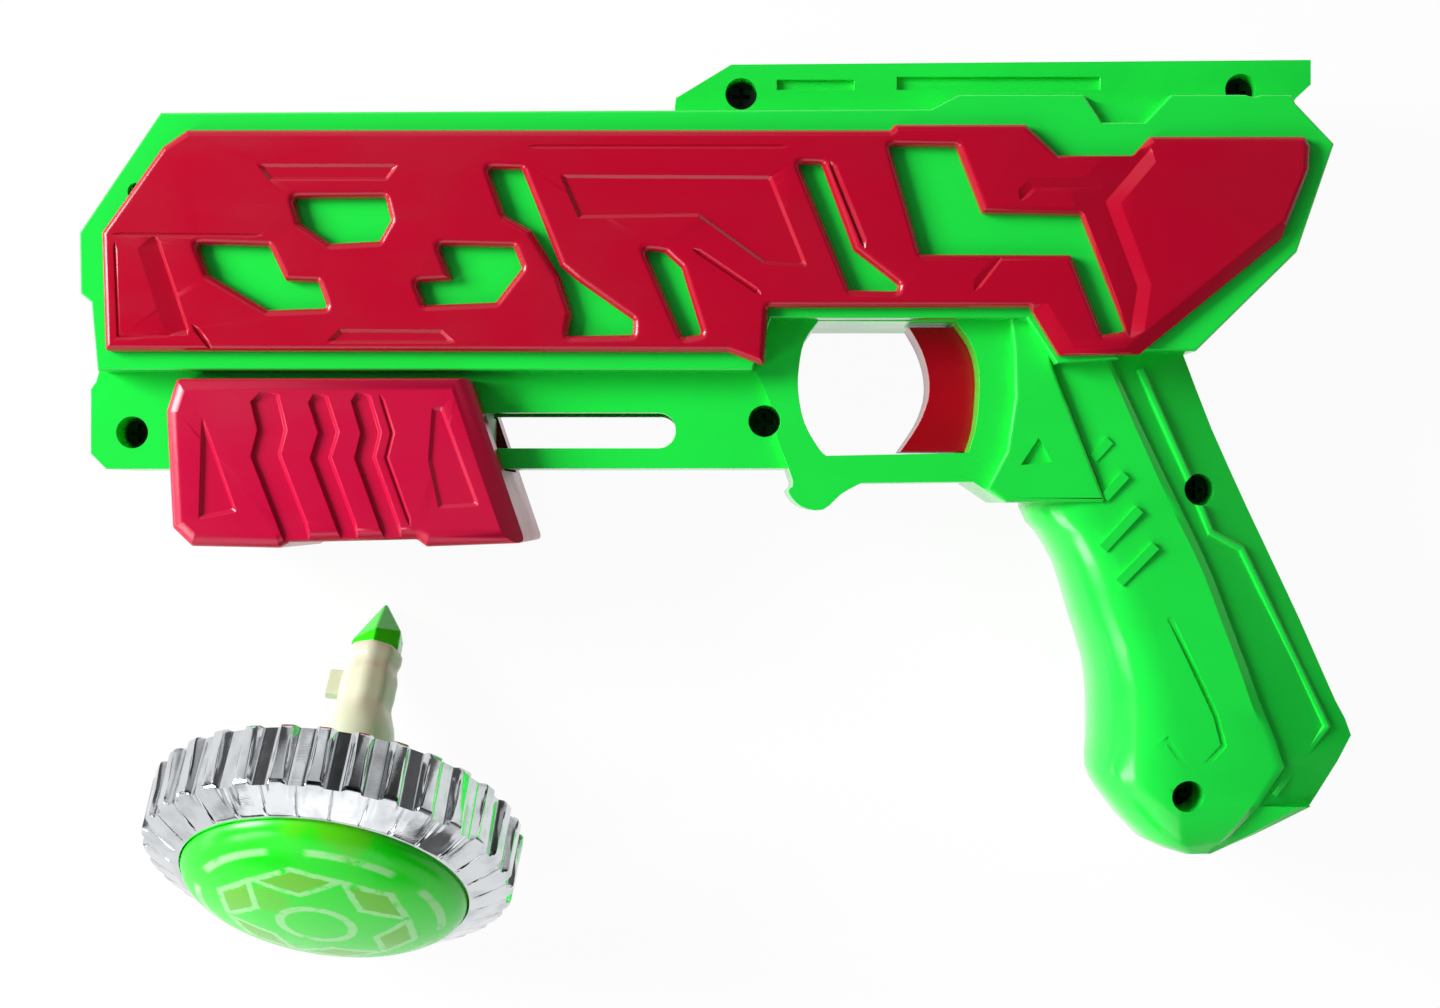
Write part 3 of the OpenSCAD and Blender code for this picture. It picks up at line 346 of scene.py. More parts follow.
@dataclass(frozen=True)
class Finish:
    """What every finish has: the record's slot that it stands for, which also names its material."""

    slot: str

    def material(self) -> bpy.types.Material:
        """The material, built at its first use."""
        name = self.slot.title().replace("_", "")
        found = bpy.data.materials.get(name)
        if found:
            return found
        made = bpy.data.materials.new(name)
        made.use_nodes = True
        graph = Graph(made.node_tree)
        point = graph.node("ShaderNodeTexCoord").outputs["Object"]
        self.wire(graph, graph.first("BSDF_PRINCIPLED"), point)
        return made

    def wire(self, graph: Graph, shader: bpy.types.Node, point: Socket) -> None:
        """Nodes between the point on the piece and the shader."""
        raise NotImplementedError

    @staticmethod
    def emboss(graph: Graph, shader: bpy.types.Node, height: Socket, depth: float) -> None:
        """Joins a height to the shader's normal through a bump of a depth in metres."""
        bump = graph.node("ShaderNodeBump")
        graph.fill(bump, {"Strength": 1.0, "Distance": depth, "Height": height})
        graph.put(shader.inputs["Normal"], bump.outputs["Normal"])


@dataclass(frozen=True)
class Moulded(Finish):
    """Moulded plastic, from high gloss to satin; depths are in metres."""

    colour: Colour
    shade: Colour
    mottle: float = 0.3
    polish: float = 0.16
    haze: float = 0.14
    coat: float = 0.35
    grain: float = 0.000012
    translucent: float = 0.0
    glow_radius: Triple = (1.0, 1.0, 0.9)
    glow_depth: float = 0.0015

    def wire(self, graph: Graph, shader: bpy.types.Node, point: Socket) -> None:
        """Skin group into colour, roughness and a shallow bump."""
        out = SKIN.use(graph, Point=point, Colour=self.colour, Shade=self.shade, Mottle=self.mottle,
                       Polish=self.polish, Haze=self.haze)
        graph.fill(shader, {
            "Base Color": out["Colour"], "Roughness": out["Roughness"], "IOR": 1.5,
            "Coat Weight": self.coat, "Coat Roughness": 0.08, "Subsurface Weight": self.translucent,
            "Subsurface Radius": self.glow_radius, "Subsurface Scale": self.glow_depth})
        self.emboss(graph, shader, out["Height"], self.grain)


@dataclass(frozen=True)
class Metal(Finish):
    """Plated, drawn or oxide-blacked metal; depths are in metres."""

    bright: Colour
    dull: Colour
    polish: float = 0.2
    spread: float = 0.2
    grain: float = 0.000006
    wobble: float = 0.0

    def wire(self, graph: Graph, shader: bpy.types.Node, point: Socket) -> None:
        """Line group into colour, roughness and bump of a full metal; plating also wobbles a little."""
        out = LINES.use(graph, Point=point, Bright=self.bright, Dull=self.dull, Polish=self.polish,
                        Spread=self.spread)
        graph.fill(shader, {"Base Color": out["Colour"], "Roughness": out["Roughness"], "Metallic": 1.0})
        wave = graph.times(graph.noise(point, 180.0, 1.0), self.wobble / self.grain)
        self.emboss(graph, shader, graph.plus(out["Height"], wave), self.grain)


@dataclass(frozen=True)
class Printed(Moulded):
    """Moulded plastic with the generic print of the dome over it."""

    pale: Colour = (1, 1, 1, 1)
    olive: Colour = (1, 1, 1, 1)
    warm: Colour = (1, 1, 1, 1)
    pale_cover: float = 0.85
    warm_cover: float = 0.8

    def wire(self, graph: Graph, shader: bpy.types.Node, point: Socket) -> None:
        """Plastic first, then the print's masks over its colour."""
        super().wire(graph, shader, point)
        skin = shader.inputs["Base Color"].links[0].from_socket
        plan = graph.node("ShaderNodeUVMap", uv_map="TopPlan").outputs["UV"]
        out = PRINT.use(graph, Plan=plan, Point=point)
        colour = graph.mix(graph.times(out["Patch"], self.warm_cover), skin, self.warm)
        colour = graph.mix(out["Olive"], colour, self.olive)
        colour = graph.mix(graph.times(out["Pale"], self.pale_cover), colour, self.pale)
        graph.put(shader.inputs["Base Color"], colour)


HOUSING_GREEN = Moulded("housing_green", tone(30, 234, 72), tone(16, 212, 52), coat=0.3)
COVER_CRIMSON = Moulded("cover_crimson", tone(186, 4, 42), tone(160, 2, 33), polish=0.2, coat=0.08)
PUMP_CRIMSON = Moulded("pump_crimson", tone(200, 4, 60), tone(180, 2, 48), polish=0.24, coat=0.08)
TRIGGER_CRIMSON = Moulded("trigger_crimson", tone(182, 3, 24), tone(160, 2, 19), coat=0.1)
INNER_WHITE = Moulded("inner_white", tone(236, 236, 228), tone(214, 212, 200), polish=0.4, coat=0.0)
BASE_GREEN = Moulded("base_green", tone(40, 190, 44), tone(28, 160, 36))
STEM_WHITE = Moulded("stem_white", tone(222, 230, 202), tone(194, 202, 168), mottle=0.4, polish=0.22,
                     translucent=0.25)
TIP_GREEN = Moulded("tip_green", tone(34, 236, 8), tone(24, 214, 6), coat=0.05, translucent=0.12)
DOME_PRINT = Printed("dome_green", tone(6, 240, 8), tone(4, 224, 6), polish=0.2, coat=0.0,
                     pale=tone(168, 244, 160), olive=tone(104, 206, 18), warm=tone(96, 214, 14))
SPRING_STEEL = Metal("spring_steel", tone(190, 190, 194), tone(120, 120, 126), polish=0.25)
PIN_STEEL = Metal("pin_steel", tone(205, 205, 208), tone(160, 160, 166), polish=0.18)
SCREW_BLACK = Metal("screw_black", tone(58, 58, 62), tone(24, 24, 27), polish=0.28)
BUSH_BRASS = Metal("bush_brass", tone(222, 190, 112), tone(170, 130, 66), polish=0.22)
RING_CHROME = Metal("ring_chrome", tone(214, 217, 220), tone(176, 180, 184), polish=0.06, spread=0.08,
                    wobble=0.00012)


# Meshes


@contextmanager
def opened(mesh: bpy.types.Mesh, source: Optional[bpy.types.Mesh] = None) -> Iterator[bmesh.types.BMesh]:
    """Opens a mesh for work on its corners and faces, and writes the result back.

    Args:
        mesh: Mesh that takes the result.
        source: Mesh that the work starts from, where that is another one.

    Yields:
        The open mesh.
    """
    work = bmesh.new()
    work.from_mesh(source or mesh)
    yield work
    work.to_mesh(mesh)
    work.free()


def put_in_scene(name: str, mesh: bpy.types.Mesh) -> bpy.types.Object:
    """Object of a mesh, linked to the scene."""
    made = bpy.data.objects.new(name, mesh)
    bpy.context.scene.collection.objects.link(made)
    return made


def grid_faces(rows: int, columns: int, loop_rows: bool, loop_columns: bool) -> np.ndarray:
    """Corner numbers of the quads of a grid of points.

    Args:
        rows: Number of rows.
        columns: Number of points in a row.
        loop_rows: Whether the last row joins the first.
        loop_columns: Whether the last column joins the first.

    Returns:
        One row of four corner numbers for each quad.
    """
    i = np.arange(rows if loop_rows else rows - 1)[:, None]
    j = np.arange(columns if loop_columns else columns - 1)[None, :]
    i2, j2 = (i + 1) % rows, (j + 1) % columns
    corners = [i * columns + j, i * columns + j2, i2 * columns + j2, i2 * columns + j]
    return np.stack([np.broadcast_to(c, (i.size, j.size)).ravel() for c in corners], axis=1)


def surface(name: str, points: np.ndarray, loop_rows: bool = False, loop_columns: bool = True,
            capped: bool = False) -> bpy.types.Object:
    """Piece made of one grid of points, with its faces turned outwards.

    Args:
        name: Name of the piece.
        points: Grid of points, rows by columns by three.
        loop_rows: Whether the last row joins the first.
        loop_columns: Whether the last column joins the first.
        capped: Whether the first and last rows are closed by a face.

    Returns:
        The new object.
    """
    rows, columns = points.shape[:2]
    faces = grid_faces(rows, columns, loop_rows, loop_columns).tolist()
    if capped:
        faces.append(list(range(columns)))
        faces.append(list(range((rows - 1) * columns, rows * columns)))
    mesh = bpy.data.meshes.new(name)
    mesh.from_pydata(points.reshape(-1, 3).tolist(), [], faces)
    with opened(mesh) as work:
        bmesh.ops.remove_doubles(work, verts=work.verts, dist=TOOL_WELD)
        bmesh.ops.recalc_face_normals(work, faces=work.faces)
    mesh.shade_smooth()
    return put_in_scene(name, mesh)


def lathe(profile: np.ndarray, sides: int,
          shape: Optional[Callable[[np.ndarray, np.ndarray], np.ndarray]] = None,
          turns: Optional[np.ndarray] = None) -> np.ndarray:
    """Points of a turned surface about Z.

    The point at turn t on profile row i is (r cos t, r sin t, z), where r is the profile's
    radius, or what shape makes of row and turn.

    Args:
        profile: Rows of radius and height.
        sides: Number of points round the axis.
        shape: Gives the radius from row numbers and turns, as whole arrays.
        turns: Angles of the points, where they aren't evenly spaced.

    Returns:
        Grid of points, rows by sides by three.
    """
    turn = (np.linspace(0, 2 * np.pi, sides, endpoint=False) if turns is None else turns)[None, :]
    radius = np.repeat(profile[:, :1], sides, axis=1)
    if shape:
        radius = shape(np.arange(len(profile))[:, None], turn)
    height = np.repeat(profile[:, 1:2], sides, axis=1)
    return np.stack([radius * np.cos(turn), radius * np.sin(turn), height], axis=2)


def placed(points: np.ndarray, place: Matrix) -> np.ndarray:
    """Points carried by a placing matrix."""
    turn = np.array(place.to_3x3())
    return points @ turn.T + np.array(place.translation)


def evened(piece: bpy.types.Object, keep_sharp: bool) -> None:
    """Adds normals weighted by the faces' areas."""
    normals = piece.modifiers.new("even_normals", "WEIGHTED_NORMAL")
    normals.weight = NORMAL_WEIGHT
    normals.keep_sharp = keep_sharp


@dataclass(frozen=True)
class SoftEdge:
    """How the edges of a moulding are rounded: width in millimetres, steps, least corner in degrees."""

    width: float = 0.35
    steps: int = 2
    corner: float = 24.0

    def apply(self, piece: bpy.types.Object) -> None:
        """Adds a bevel and evened normals to a piece."""
        bevel = piece.modifiers.new("soft_edge", "BEVEL")
        bevel.width = self.width * MM
        bevel.segments = self.steps
        bevel.limit_method = "ANGLE"
        bevel.angle_limit = math.radians(self.corner)
        bevel.use_clamp_overlap = True
        bevel.miter_outer = "MITER_ARC"
        evened(piece, False)


def merged_copy(frame: dict, node: str, name: str) -> bpy.types.Object:
    """Merged copy of a CAD node, as a new object."""
    mesh = bpy.data.meshes.new(name)
    with opened(mesh, frame["nodes"][node].data) as work:
        bmesh.ops.remove_doubles(work, verts=work.verts, dist=CAD_WELD)
    mesh.shade_smooth()
    return put_in_scene(name, mesh)


def chains(edges: set[bmesh.types.BMEdge]) -> Iterator[list[bmesh.types.BMEdge]]:
    """Takes edges apart into the chains that share corners."""
    while edges:
        chain, ends = [], [edges.pop()]
        while ends:
            edge = ends.pop()
            chain.append(edge)
            near = {e for v in edge.verts for e in v.link_edges if e in edges}
            edges -= near
            ends.extend(near)
        yield chain


def soft_rims(piece: bpy.types.Object, rims: Pairs, middle: float, shortest: float = 22.0,
              least_turn: float = 0.9, flat_turn: float = 0.05) -> None:
    """Joins flat faces off the middle plane and rounds the long outer edges that lie level over it.

    Args:
        piece: Piece to work on.
        rims: Distance from the middle plane and width of each rim, in millimetres.
        middle: Height of the middle plane, in millimetres.
        shortest: Length over which a chain of edges is rounded, in millimetres.
        least_turn: Angle between its faces over which an edge is rounded, in radians.
        flat_turn: Angle up to which faces count as one flat face, in degrees.
    """
    def away(corner: bmesh.types.BMVert) -> float:
        """Distance of a corner from the middle plane, in metres."""
        return abs(corner.co.z - middle * MM)

    with opened(piece.data) as work:
        corners = [v for v in work.verts if away(v) > LEVEL_SLACK]
        edges = [e for e in work.edges if max(away(v) for v in e.verts) > LEVEL_SLACK]
        bmesh.ops.dissolve_limit(work, angle_limit=math.radians(flat_turn), verts=corners, edges=edges)
        for level, width in rims:
            flat = {v for v in work.verts if abs(away(v) - level * MM) < LEVEL_SLACK}
            rim = {e for v in flat for e in v.link_edges if e.other_vert(v) in flat and e.is_manifold
                   and e.is_convex and e.calc_face_angle() > least_turn}
            long = [c for c in chains(rim) if sum(e.calc_length() for e in c) > shortest * MM]
            work.edges.index_update()
            chosen = sorted((e for chain in long for e in chain), key=lambda e: e.index)
            bmesh.ops.bevel(work, geom=chosen, offset=width * MM, offset_type="OFFSET", segments=3,
                            profile=0.5, affect="EDGES", clamp_overlap=True)
            LOG.info("%s: %d edges rounded at %.1f mm", piece.name, len(chosen), level)
    piece.data.shade_smooth()


def dress(piece: bpy.types.Object, finish: Finish) -> None:
    """Gives a piece the material of one finish, in place of any it had."""
    piece.data.materials.clear()
    piece.data.materials.append(finish.material())


# Loops, plates and tools


def turned(points: Sequence[Sequence[float]], sense: int) -> np.ndarray:
    """Closed loop that runs anticlockwise for sense 1 and clockwise for -1."""
    loop = np.array(points, dtype=float)
    after = np.roll(loop, -1, axis=0)
    area = np.sum(loop[:, 0] * after[:, 1] - after[:, 0] * loop[:, 1])
    return loop if area * sense > 0 else loop[::-1]


def lifted(plan: np.ndarray, height: float) -> np.ndarray:
    """Points of a plan at a height."""
    return np.column_stack([plan, np.full(len(plan), height)])


def moved_in(loop: np.ndarray, distance: float) -> np.ndarray:
    """Closed loop with every side moved to its left, mitred at its corners.

    A corner moves by the sum of the two unit normals over one plus their product.

    Args:
        loop: Corners of the loop.
        distance: How far the sides move.

    Returns:
        The corners of the moved loop.
    """
    ahead = np.roll(loop, -1, axis=0) - loop
    ahead /= np.linalg.norm(ahead, axis=1, keepdims=True)
    left = np.stack([-ahead[:, 1], ahead[:, 0]], axis=1)
    before = np.roll(left, 1, axis=0)
    return loop + distance * (left + before) / (1 + np.sum(left * before, axis=1, keepdims=True))


def eased(loop: np.ndarray, radius: float, inset: float, steps: int = 4,
          tightest: float = 0.12) -> np.ndarray:
    """Closed loop with an arc at each corner.

    Each arc is the parabola from a point before the corner to one after it. Its radius
    shrinks by the inset on an outer corner and grows by it on an inner one.

    Args:
        loop: Corners of the loop, already moved in by the inset.
        radius: Radius of the corners where the inset is zero.
        inset: How far the loop was moved in.
        steps: Sides of each arc.
        tightest: Least radius of an outer corner.

    Returns:
        The points of the eased loop.
    """
    side = np.roll(loop, -1, axis=0) - loop
    length = np.linalg.norm(side, axis=1)
    ahead = side / length[:, None]
    behind = np.roll(ahead, 1, axis=0)
    sine = behind[:, 0] * ahead[:, 1] - behind[:, 1] * ahead[:, 0]
    turn = np.arccos(np.clip(np.sum(ahead * behind, axis=1), -1, 1))
    wanted = np.where(sine > 0, np.maximum(radius - inset, tightest), radius + inset) * np.tan(turn / 2)
    cut = np.minimum(wanted, 0.45 * np.minimum(length, np.roll(length, 1)))[:, None, None]
    s = np.linspace(0, 1, steps + 1)[None, :, None]
    corner, back, on = loop[:, None, :], behind[:, None, :], ahead[:, None, :]
    arc = (1 - s) ** 2 * (corner - cut * back) + 2 * s * (1 - s) * corner + s ** 2 * (corner + cut * on)
    return arc.reshape(-1, 2)


def carried(path: np.ndarray, side: np.ndarray, height: np.ndarray) -> np.ndarray:
    """Points of a section carried along an open path and mitred at its corners.

    Args:
        path: Points of the path.
        side: For each point of the path, how far to its left each point of the section is.
        height: Heights of the same points.

    Returns:
        Grid of points in metres, path by section by three.
    """
    step = np.diff(path, axis=0)
    step /= np.linalg.norm(step, axis=1, keepdims=True)
    left = np.stack([-step[:, 1], step[:, 0]], axis=1)
    before, after = np.vstack([left[:1], left]), np.vstack([left, left[-1:]])
    across = (before + after) / (1 + np.sum(before * after, axis=1, keepdims=True))
    place = path[:, None, :] + side[:, :, None] * across[:, None, :]
    return np.concatenate([place, height[:, :, None]], axis=2) * MM


def flank_rows(flank: float, depth: float) -> np.ndarray:
    """Rows of one wall of a cut, from the air above the plate to its floor.

    Returns:
        Distance outside the floor's edge and height over the plate, with a soft rim and foot.
    """
    return np.array([(flank + 0.5, 0.3), (flank + 0.16, 0.0), (0.97 * flank, -0.07),
                     (0.07, -depth + 0.05), (-0.05, -depth)])


@dataclass(frozen=True)
class Groove:
    """Line sunk into a plate, in millimetres: the path, then flat, right and left flanks, depth.

    The line fades out over its run at both ends, to the share of its size that is its end.
    """

    path: Pairs
    flat: float
    right: float
    left: float
    depth: float
    run: float = 1.2
    end: float = 0.12

    def cutter(self, top: float) -> bpy.types.Object:
        """Tool for the cut: the section carried along the path."""
        path = np.array(self.path, dtype=float)
        ends = ((path[0], path[1]), (path[-1], path[-2]))
        inner = [end + self.run * (near - end) / np.linalg.norm(near - end) for end, near in ends]
        path = np.vstack([path[:1], inner[:1], path[1:-1], inner[1:], path[-1:]])
        scale = np.array([self.end] + [1.0] * (len(path) - 2) + [self.end])[:, None]
        right, left = flank_rows(self.right, self.depth), flank_rows(self.left, self.depth)[::-1]
        side = np.concatenate([-right[:, 0] - self.flat / 2, left[:, 0] + self.flat / 2])[None, :]
        rise = np.concatenate([right[:, 1], left[:, 1]])[None, :]
        height = top + np.where(rise < 0, scale, 1.0) * rise
        return surface("groove_tool", carried(path, scale * side, height), capped=True)


@dataclass(frozen=True)
class Field:
    """Flat field sunk into a plate, in millimetres: outline of its floor's rim, flank, depth."""

    outline: Pairs
    flank: float
    depth: float
    corner: float = 0.4

    def cutter(self, top: float) -> bpy.types.Object:
        """Tool for the cut: its outline moved in along the flank's rows."""
        loop = turned(self.outline, 1)
        levels = [lifted(eased(moved_in(loop, self.flank - out), self.corner, 0.0), top + rise)
                  for out, rise in flank_rows(self.flank, self.depth)]
        return surface("field_tool", np.stack(levels) * MM, capped=True)


def work_in(piece: bpy.types.Object, tools: Sequence[bpy.types.Object],
            operation: str = "DIFFERENCE") -> None:
    """Cuts tools out of a piece, or joins them to it, and throws the tools away."""
    for tool in tools:
        step = piece.modifiers.new("work", "BOOLEAN")
        step.operation, step.solver, step.object = operation, "EXACT", tool
    bpy.context.view_layer.update()
    seen = piece.evaluated_get(bpy.context.evaluated_depsgraph_get())
    old, piece.data = piece.data, bpy.data.meshes.new_from_object(seen)
    piece.modifiers.clear()
    bpy.data.meshes.remove(old)
    for tool in tools:
        mesh = tool.data
        bpy.data.objects.remove(tool)
        bpy.data.meshes.remove(mesh)


def even_normals(piece: bpy.types.Object, crease: float = 42.0) -> None:
    """Merges doubles, keeps corners sharper than the crease in degrees, and evens the normals by area."""
    with opened(piece.data) as work:
        bmesh.ops.remove_doubles(work, verts=work.verts, dist=WELD)
        bmesh.ops.dissolve_degenerate(work, edges=work.edges, dist=WELD)
    piece.data.shade_smooth()
    piece.data.set_sharp_from_angle(angle=math.radians(crease))
    evened(piece, True)


@dataclass(frozen=True)
class Plate:
    """Moulded plate with windows and a soft rim; lengths in millimetres.

    The rim is given as rows of inset and drop below the upper face, from its outside in.
    """

    outline: Pairs
    windows: tuple[Pairs, ...]
    low: float
    high: float
    rim: Pairs
    corner: float = 0.6
    foot: float = 0.22

    def build(self, name: str) -> bpy.types.Object:
        """The plate: one grid of rows for each loop, closed below and above by flat faces."""
        foot, low = self.foot, self.low
        rows = [(foot, low), (0.3 * foot, low + 0.3 * foot), (0.0, low + foot)]
        rows += [(inset, self.high - drop) for inset, drop in self.rim]
        points, faces, count = [], [], 0
        for loop in [turned(self.outline, 1)] + [turned(w, -1) for w in self.windows]:
            grid = np.stack([lifted(eased(moved_in(loop, inset), self.corner, inset), height)
                             for inset, height in rows])
            faces.append(grid_faces(len(rows), grid.shape[1], False, True) + count)
            points.append(grid.reshape(-1, 3))
            count += len(points[-1])
        mesh = bpy.data.meshes.new(name)
        mesh.from_pydata((np.vstack(points) * MM).tolist(), [], np.vstack(faces).tolist())
        with opened(mesh) as work:
            bmesh.ops.remove_doubles(work, verts=work.verts, dist=WELD)
            for height in (self.low, self.high):
                edge = [e for e in work.edges if e.is_boundary
                        and all(abs(v.co.z - height * MM) < WELD for v in e.verts)]
                bmesh.ops.triangle_fill(work, use_beauty=True, use_dissolve=False, edges=edge)
            bmesh.ops.recalc_face_normals(work, faces=work.faces)
        return put_in_scene(name, mesh)


def mirrored(piece: bpy.types.Object, name: str) -> bpy.types.Object:
    """Copy of a piece mirrored in the middle plane, its faces turned outwards again."""
    mesh = bpy.data.meshes.new(name)
    flip = Matrix.Translation((0, 0, 2 * MIDDLE * MM)) @ Matrix.Diagonal((1, 1, -1, 1))
    with opened(mesh, piece.data) as work:
        bmesh.ops.transform(work, matrix=flip, verts=work.verts)
        bmesh.ops.reverse_faces(work, faces=work.faces)
    return put_in_scene(name, mesh)


def drill(places: Pairs, radius: float, low: float, high: float) -> list[bpy.types.Object]:
    """Tools for round upright holes, with a soft mouth at the outer end."""
    out = 1 if high > low else -1
    rows = np.array([(radius, low), (radius, high - 0.35 * out), (radius + 0.1, high - 0.1 * out),
                     (radius + 0.3, high), (radius + 0.6, high + 0.3 * out)])
    hole = lathe(rows, 48)
    return [surface("drill_tool", (hole + np.array([x, y, 0.0])) * MM, capped=True) for x, y in places]


def block(box: Pairs) -> bpy.types.Object:
    """Tool for a box: its span in X, in Y, and in height over the middle plane."""
    (x0, x1), (y0, y1), heights = box
    plan = np.array([(x0, y0), (x1, y0), (x1, y1), (x0, y1)], dtype=float)
    return surface("block_tool", np.stack([lifted(plan, MIDDLE + z) for z in heights]) * MM, capped=True)


# Sub-assemblies


@dataclass
class Assembly:
    """A sub-assembly: builds its pieces, dresses them and gives them to a body."""

    frame: dict

    def keep(self, piece: bpy.types.Object, body: Body, finish: Finish, node: str) -> None:
        """Dresses a finished piece, lets it ride, hides the node that it takes the place of, and reports
        it.
        """
        dress(piece, finish)
        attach(piece, body.value)
        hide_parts(node)
        LOG.info("%s rides on %s in %s", piece.name, body.value, finish.slot)

    def mould(self, node: str, name: str, body: Body, finish: Finish, edge: SoftEdge) -> None:
        """Merged copy of a CAD node with soft edges, dressed and riding."""
        made = merged_copy(self.frame, node, name)
        soft_rims(made, (), 0.0)
        edge.apply(made)
        self.keep(made, body, finish, node)

    def build(self) -> None:
        """Builds every piece of the sub-assembly."""
        raise NotImplementedError


@dataclass
class Housing(Assembly):
    """Green housing halves, crimson side covers and the screws between them.

    Each station of the grip's land is its point at the swell, its point at the rear, and its
    height over the middle plane at the swell. What stands over the land is cut from land_start
    behind the swell to land_past behind the rear, up to land_air over the middle plane. The plate
    under the land is given by its corners: share of the land's width, shift along it, and height
    over the land.
    """

    under: float = 15.5
    rims: Pairs = ((15.5, 0.9), (13.0, 0.8), (11.0, 0.7), (9.5, 0.6), (7.5, 0.6))
    land: tuple[tuple[float, ...], ...] = (
        (65.5, -14.4, 79.2, -14.5, 10.25), (71.4, -27, 83.9, -27, 10.25),
        (77.8, -40.3, 89.7, -40.3, 10.75), (80.5, -46, 92.3, -46, 11.12), (83.1, -52, 95, -52, 11.62),
        (85.7, -59.2, 98.3, -59.2, 12.12), (88.7, -67.3, 101.8, -67.3, 12.5),
        (90.9, -73.3, 104.5, -73.3, 12.5), (93.7, -79.8, 107.2, -79.2, 12.3),
        (95.2, -84, 104.6, -83.5, 11.94), (91, -90.8, 100, -91.1, 11.25))
    land_slope: float = 0.3
    land_start: float = 0.3
    land_past: float = 4.0
    land_air: float = 20.0
    land_plate: tuple[Triple, ...] = ((0, -0.4, -1.9), (1, -0.4, -1.7), (1, -0.4, 0.3), (0, -0.4, 0.05))
    land_screw: Pair = (81.2, -37.5)
    land_screw_hole: float = 2.75
    ridge: Pairs = (
        (71.1, -17.1), (79.2, -35.5), (82.8, -44.8), (88.2, -47.5), (91.1, -53.6), (102.6, -77.5),
        (93.2, -88.9))
    ridge_section: Pairs = (
        (-0.75, -1.0), (-0.7, 0.1), (-0.45, 0.55), (-0.25, 0.65), (0.25, 0.65), (0.45, 0.55), (0.7, 0.1),
        (0.75, -1.0))
    outline: Pairs = (
        (-88.1, 22), (-92.2, 19.2), (-102.3, 5), (-101.7, -14.6), (1.3, -14.8), (7.4, -17.1), (8, -7.4),
        (51.3, -7.4), (56.1, -15.4), (69.4, -15.2), (92.9, 3.9), (97.5, 15.4), (97.7, 19.3), (96.8, 20.9),
        (71.2, 20.9), (68.3, 17.8), (56.1, 17.8), (50.6, 22.9), (28.9, 22.9), (28.1, 22))
    windows: tuple[Pairs, ...] = (
        ((-70.5, 10.7), (-55.4, 10.8), (-54.5, 7), (-56.4, 3.6), (-64.4, 3.2), (-69.3, 6.5)),
        ((-86.6, 3.1), (-74.6, 2.7), (-71.9, -3), (-66.5, -3.2), (-65, -7.5), (-74.7, -7.8), (-84.5, -2)),
        ((-46.5, 2.9), (-34.2, 2.6), (-32.8, -0.9), (-37.1, -6.5), (-48.7, -7), (-50.2, -3.2),
         (-44.2, -2.9)),
        ((-38.3, 15.6), (-35.5, 7.9), (-31.2, 5.4), (-26.4, -2.4), (-24.4, -8.5), (-25.2, -12.1),
         (-14.4, -11.9), (-14.4, -9.5), (-23.6, -3), (-26.4, -0.6), (-32.8, 15.4)),
        ((-12.4, 2.1), (-9.2, 1.7), (-6.4, -0.9), (-3, -11.8), (-6.1, -12.3)),
        ((13, 16.4), (16.8, 16.3), (22.1, 2.1), (29.5, -3.7), (29.2, -4.7), (21.6, -4.5)),
        ((28.1, 19.4), (39.1, 19.2), (43.4, 8.2), (59.7, 7.9), (67.2, -11.3), (63.4, -11.9), (58.1, 1.3),
         (33.3, 1.4)))
    rim: Pairs = ((0, 1.25), (0.08, 0.85), (0.35, 0.4), (0.8, 0.1), (1.25, 0))
    cuts: tuple[Union[Groove, Field], ...] = (
        Groove(((-93.4, 4.4), (-87.9, -12.1)), 0.2, 3.2, 0.4, 0.7),
        Groove(((-87.2, -10.3), (-82.6, -16.4)), 0.2, 0.2, 0.5, 0.5),
        Groove(((-100.5, 4.6), (-75.5, 4.4)), 0.3, 0.15, 0.15, 0.35),
        Groove(((-99.9, 3.5), (-99.3, -12.1), (-90.1, -12.1)), 0.25, 0.15, 0.15, 0.3),
        Field(((-76.6, 16.2), (-53, 16.2), (-55, 13.5), (-74.3, 13.5)), 0.5, 0.5),
        Field(((-62.7, -11.1), (-46, -11.2), (-43.5, -13.4), (-65.2, -13.4)), 0.5, 0.5),
        Groove(((-31.7, 19.1), (11.4, 19.1)), 0.25, 0.15, 0.15, 0.3),
        Groove(((-4.6, 2.3), (6.8, -5.4)), 0.2, 0.2, 0.5, 0.5),
        Field(((-26.4, 14.4), (-23.3, 7.3), (-3.6, 7.6), (7.1, -0.2), (14.4, -0.7),
               (8.4, 14.2)), 0.5, 0.5),
        Groove(((18, 16.8), (23.9, 2.3)), 0.2, 0.2, 0.7, 0.45),
        Groove(((49.5, 10.1), (51.8, 12.4), (64.2, 12.4)), 0.2, 0.3, 1.4, 0.5),
        Groove(((47, 1.6), (42, -4.8)), 0.2, 1.0, 0.3, 0.35),
        Groove(((71.1, 18.8), (63.7, 10.1), (69, -4), (67.7, -12.4)), 0.2, 5.0, 2.0, 0.8),
        Groove(((51, -7.2), (56.9, -17.1)), 0.2, 3.0, 2.7, 0.95),
        Groove(((95.2, 5.8), (67.0, -17.1)), 0.2, 2.2, 3.0, 1.0))

    def land_tools(self) -> tuple[bpy.types.Object, bpy.types.Object]:
        """The grip's land behind its swell, which slopes away to the rear.

        Its height falls from that at the swell by the slope times the way from there.

        Returns:
            A plate under the land, and the tool for what stands over it, less the ridge on it.
        """
        rows = np.array(self.land)
        swell, rear, high = rows[:, :2], rows[:, 2:4], rows[:, 4:]
        width = np.linalg.norm(rear - swell, axis=1, keepdims=True)
        way = (rear - swell) / width

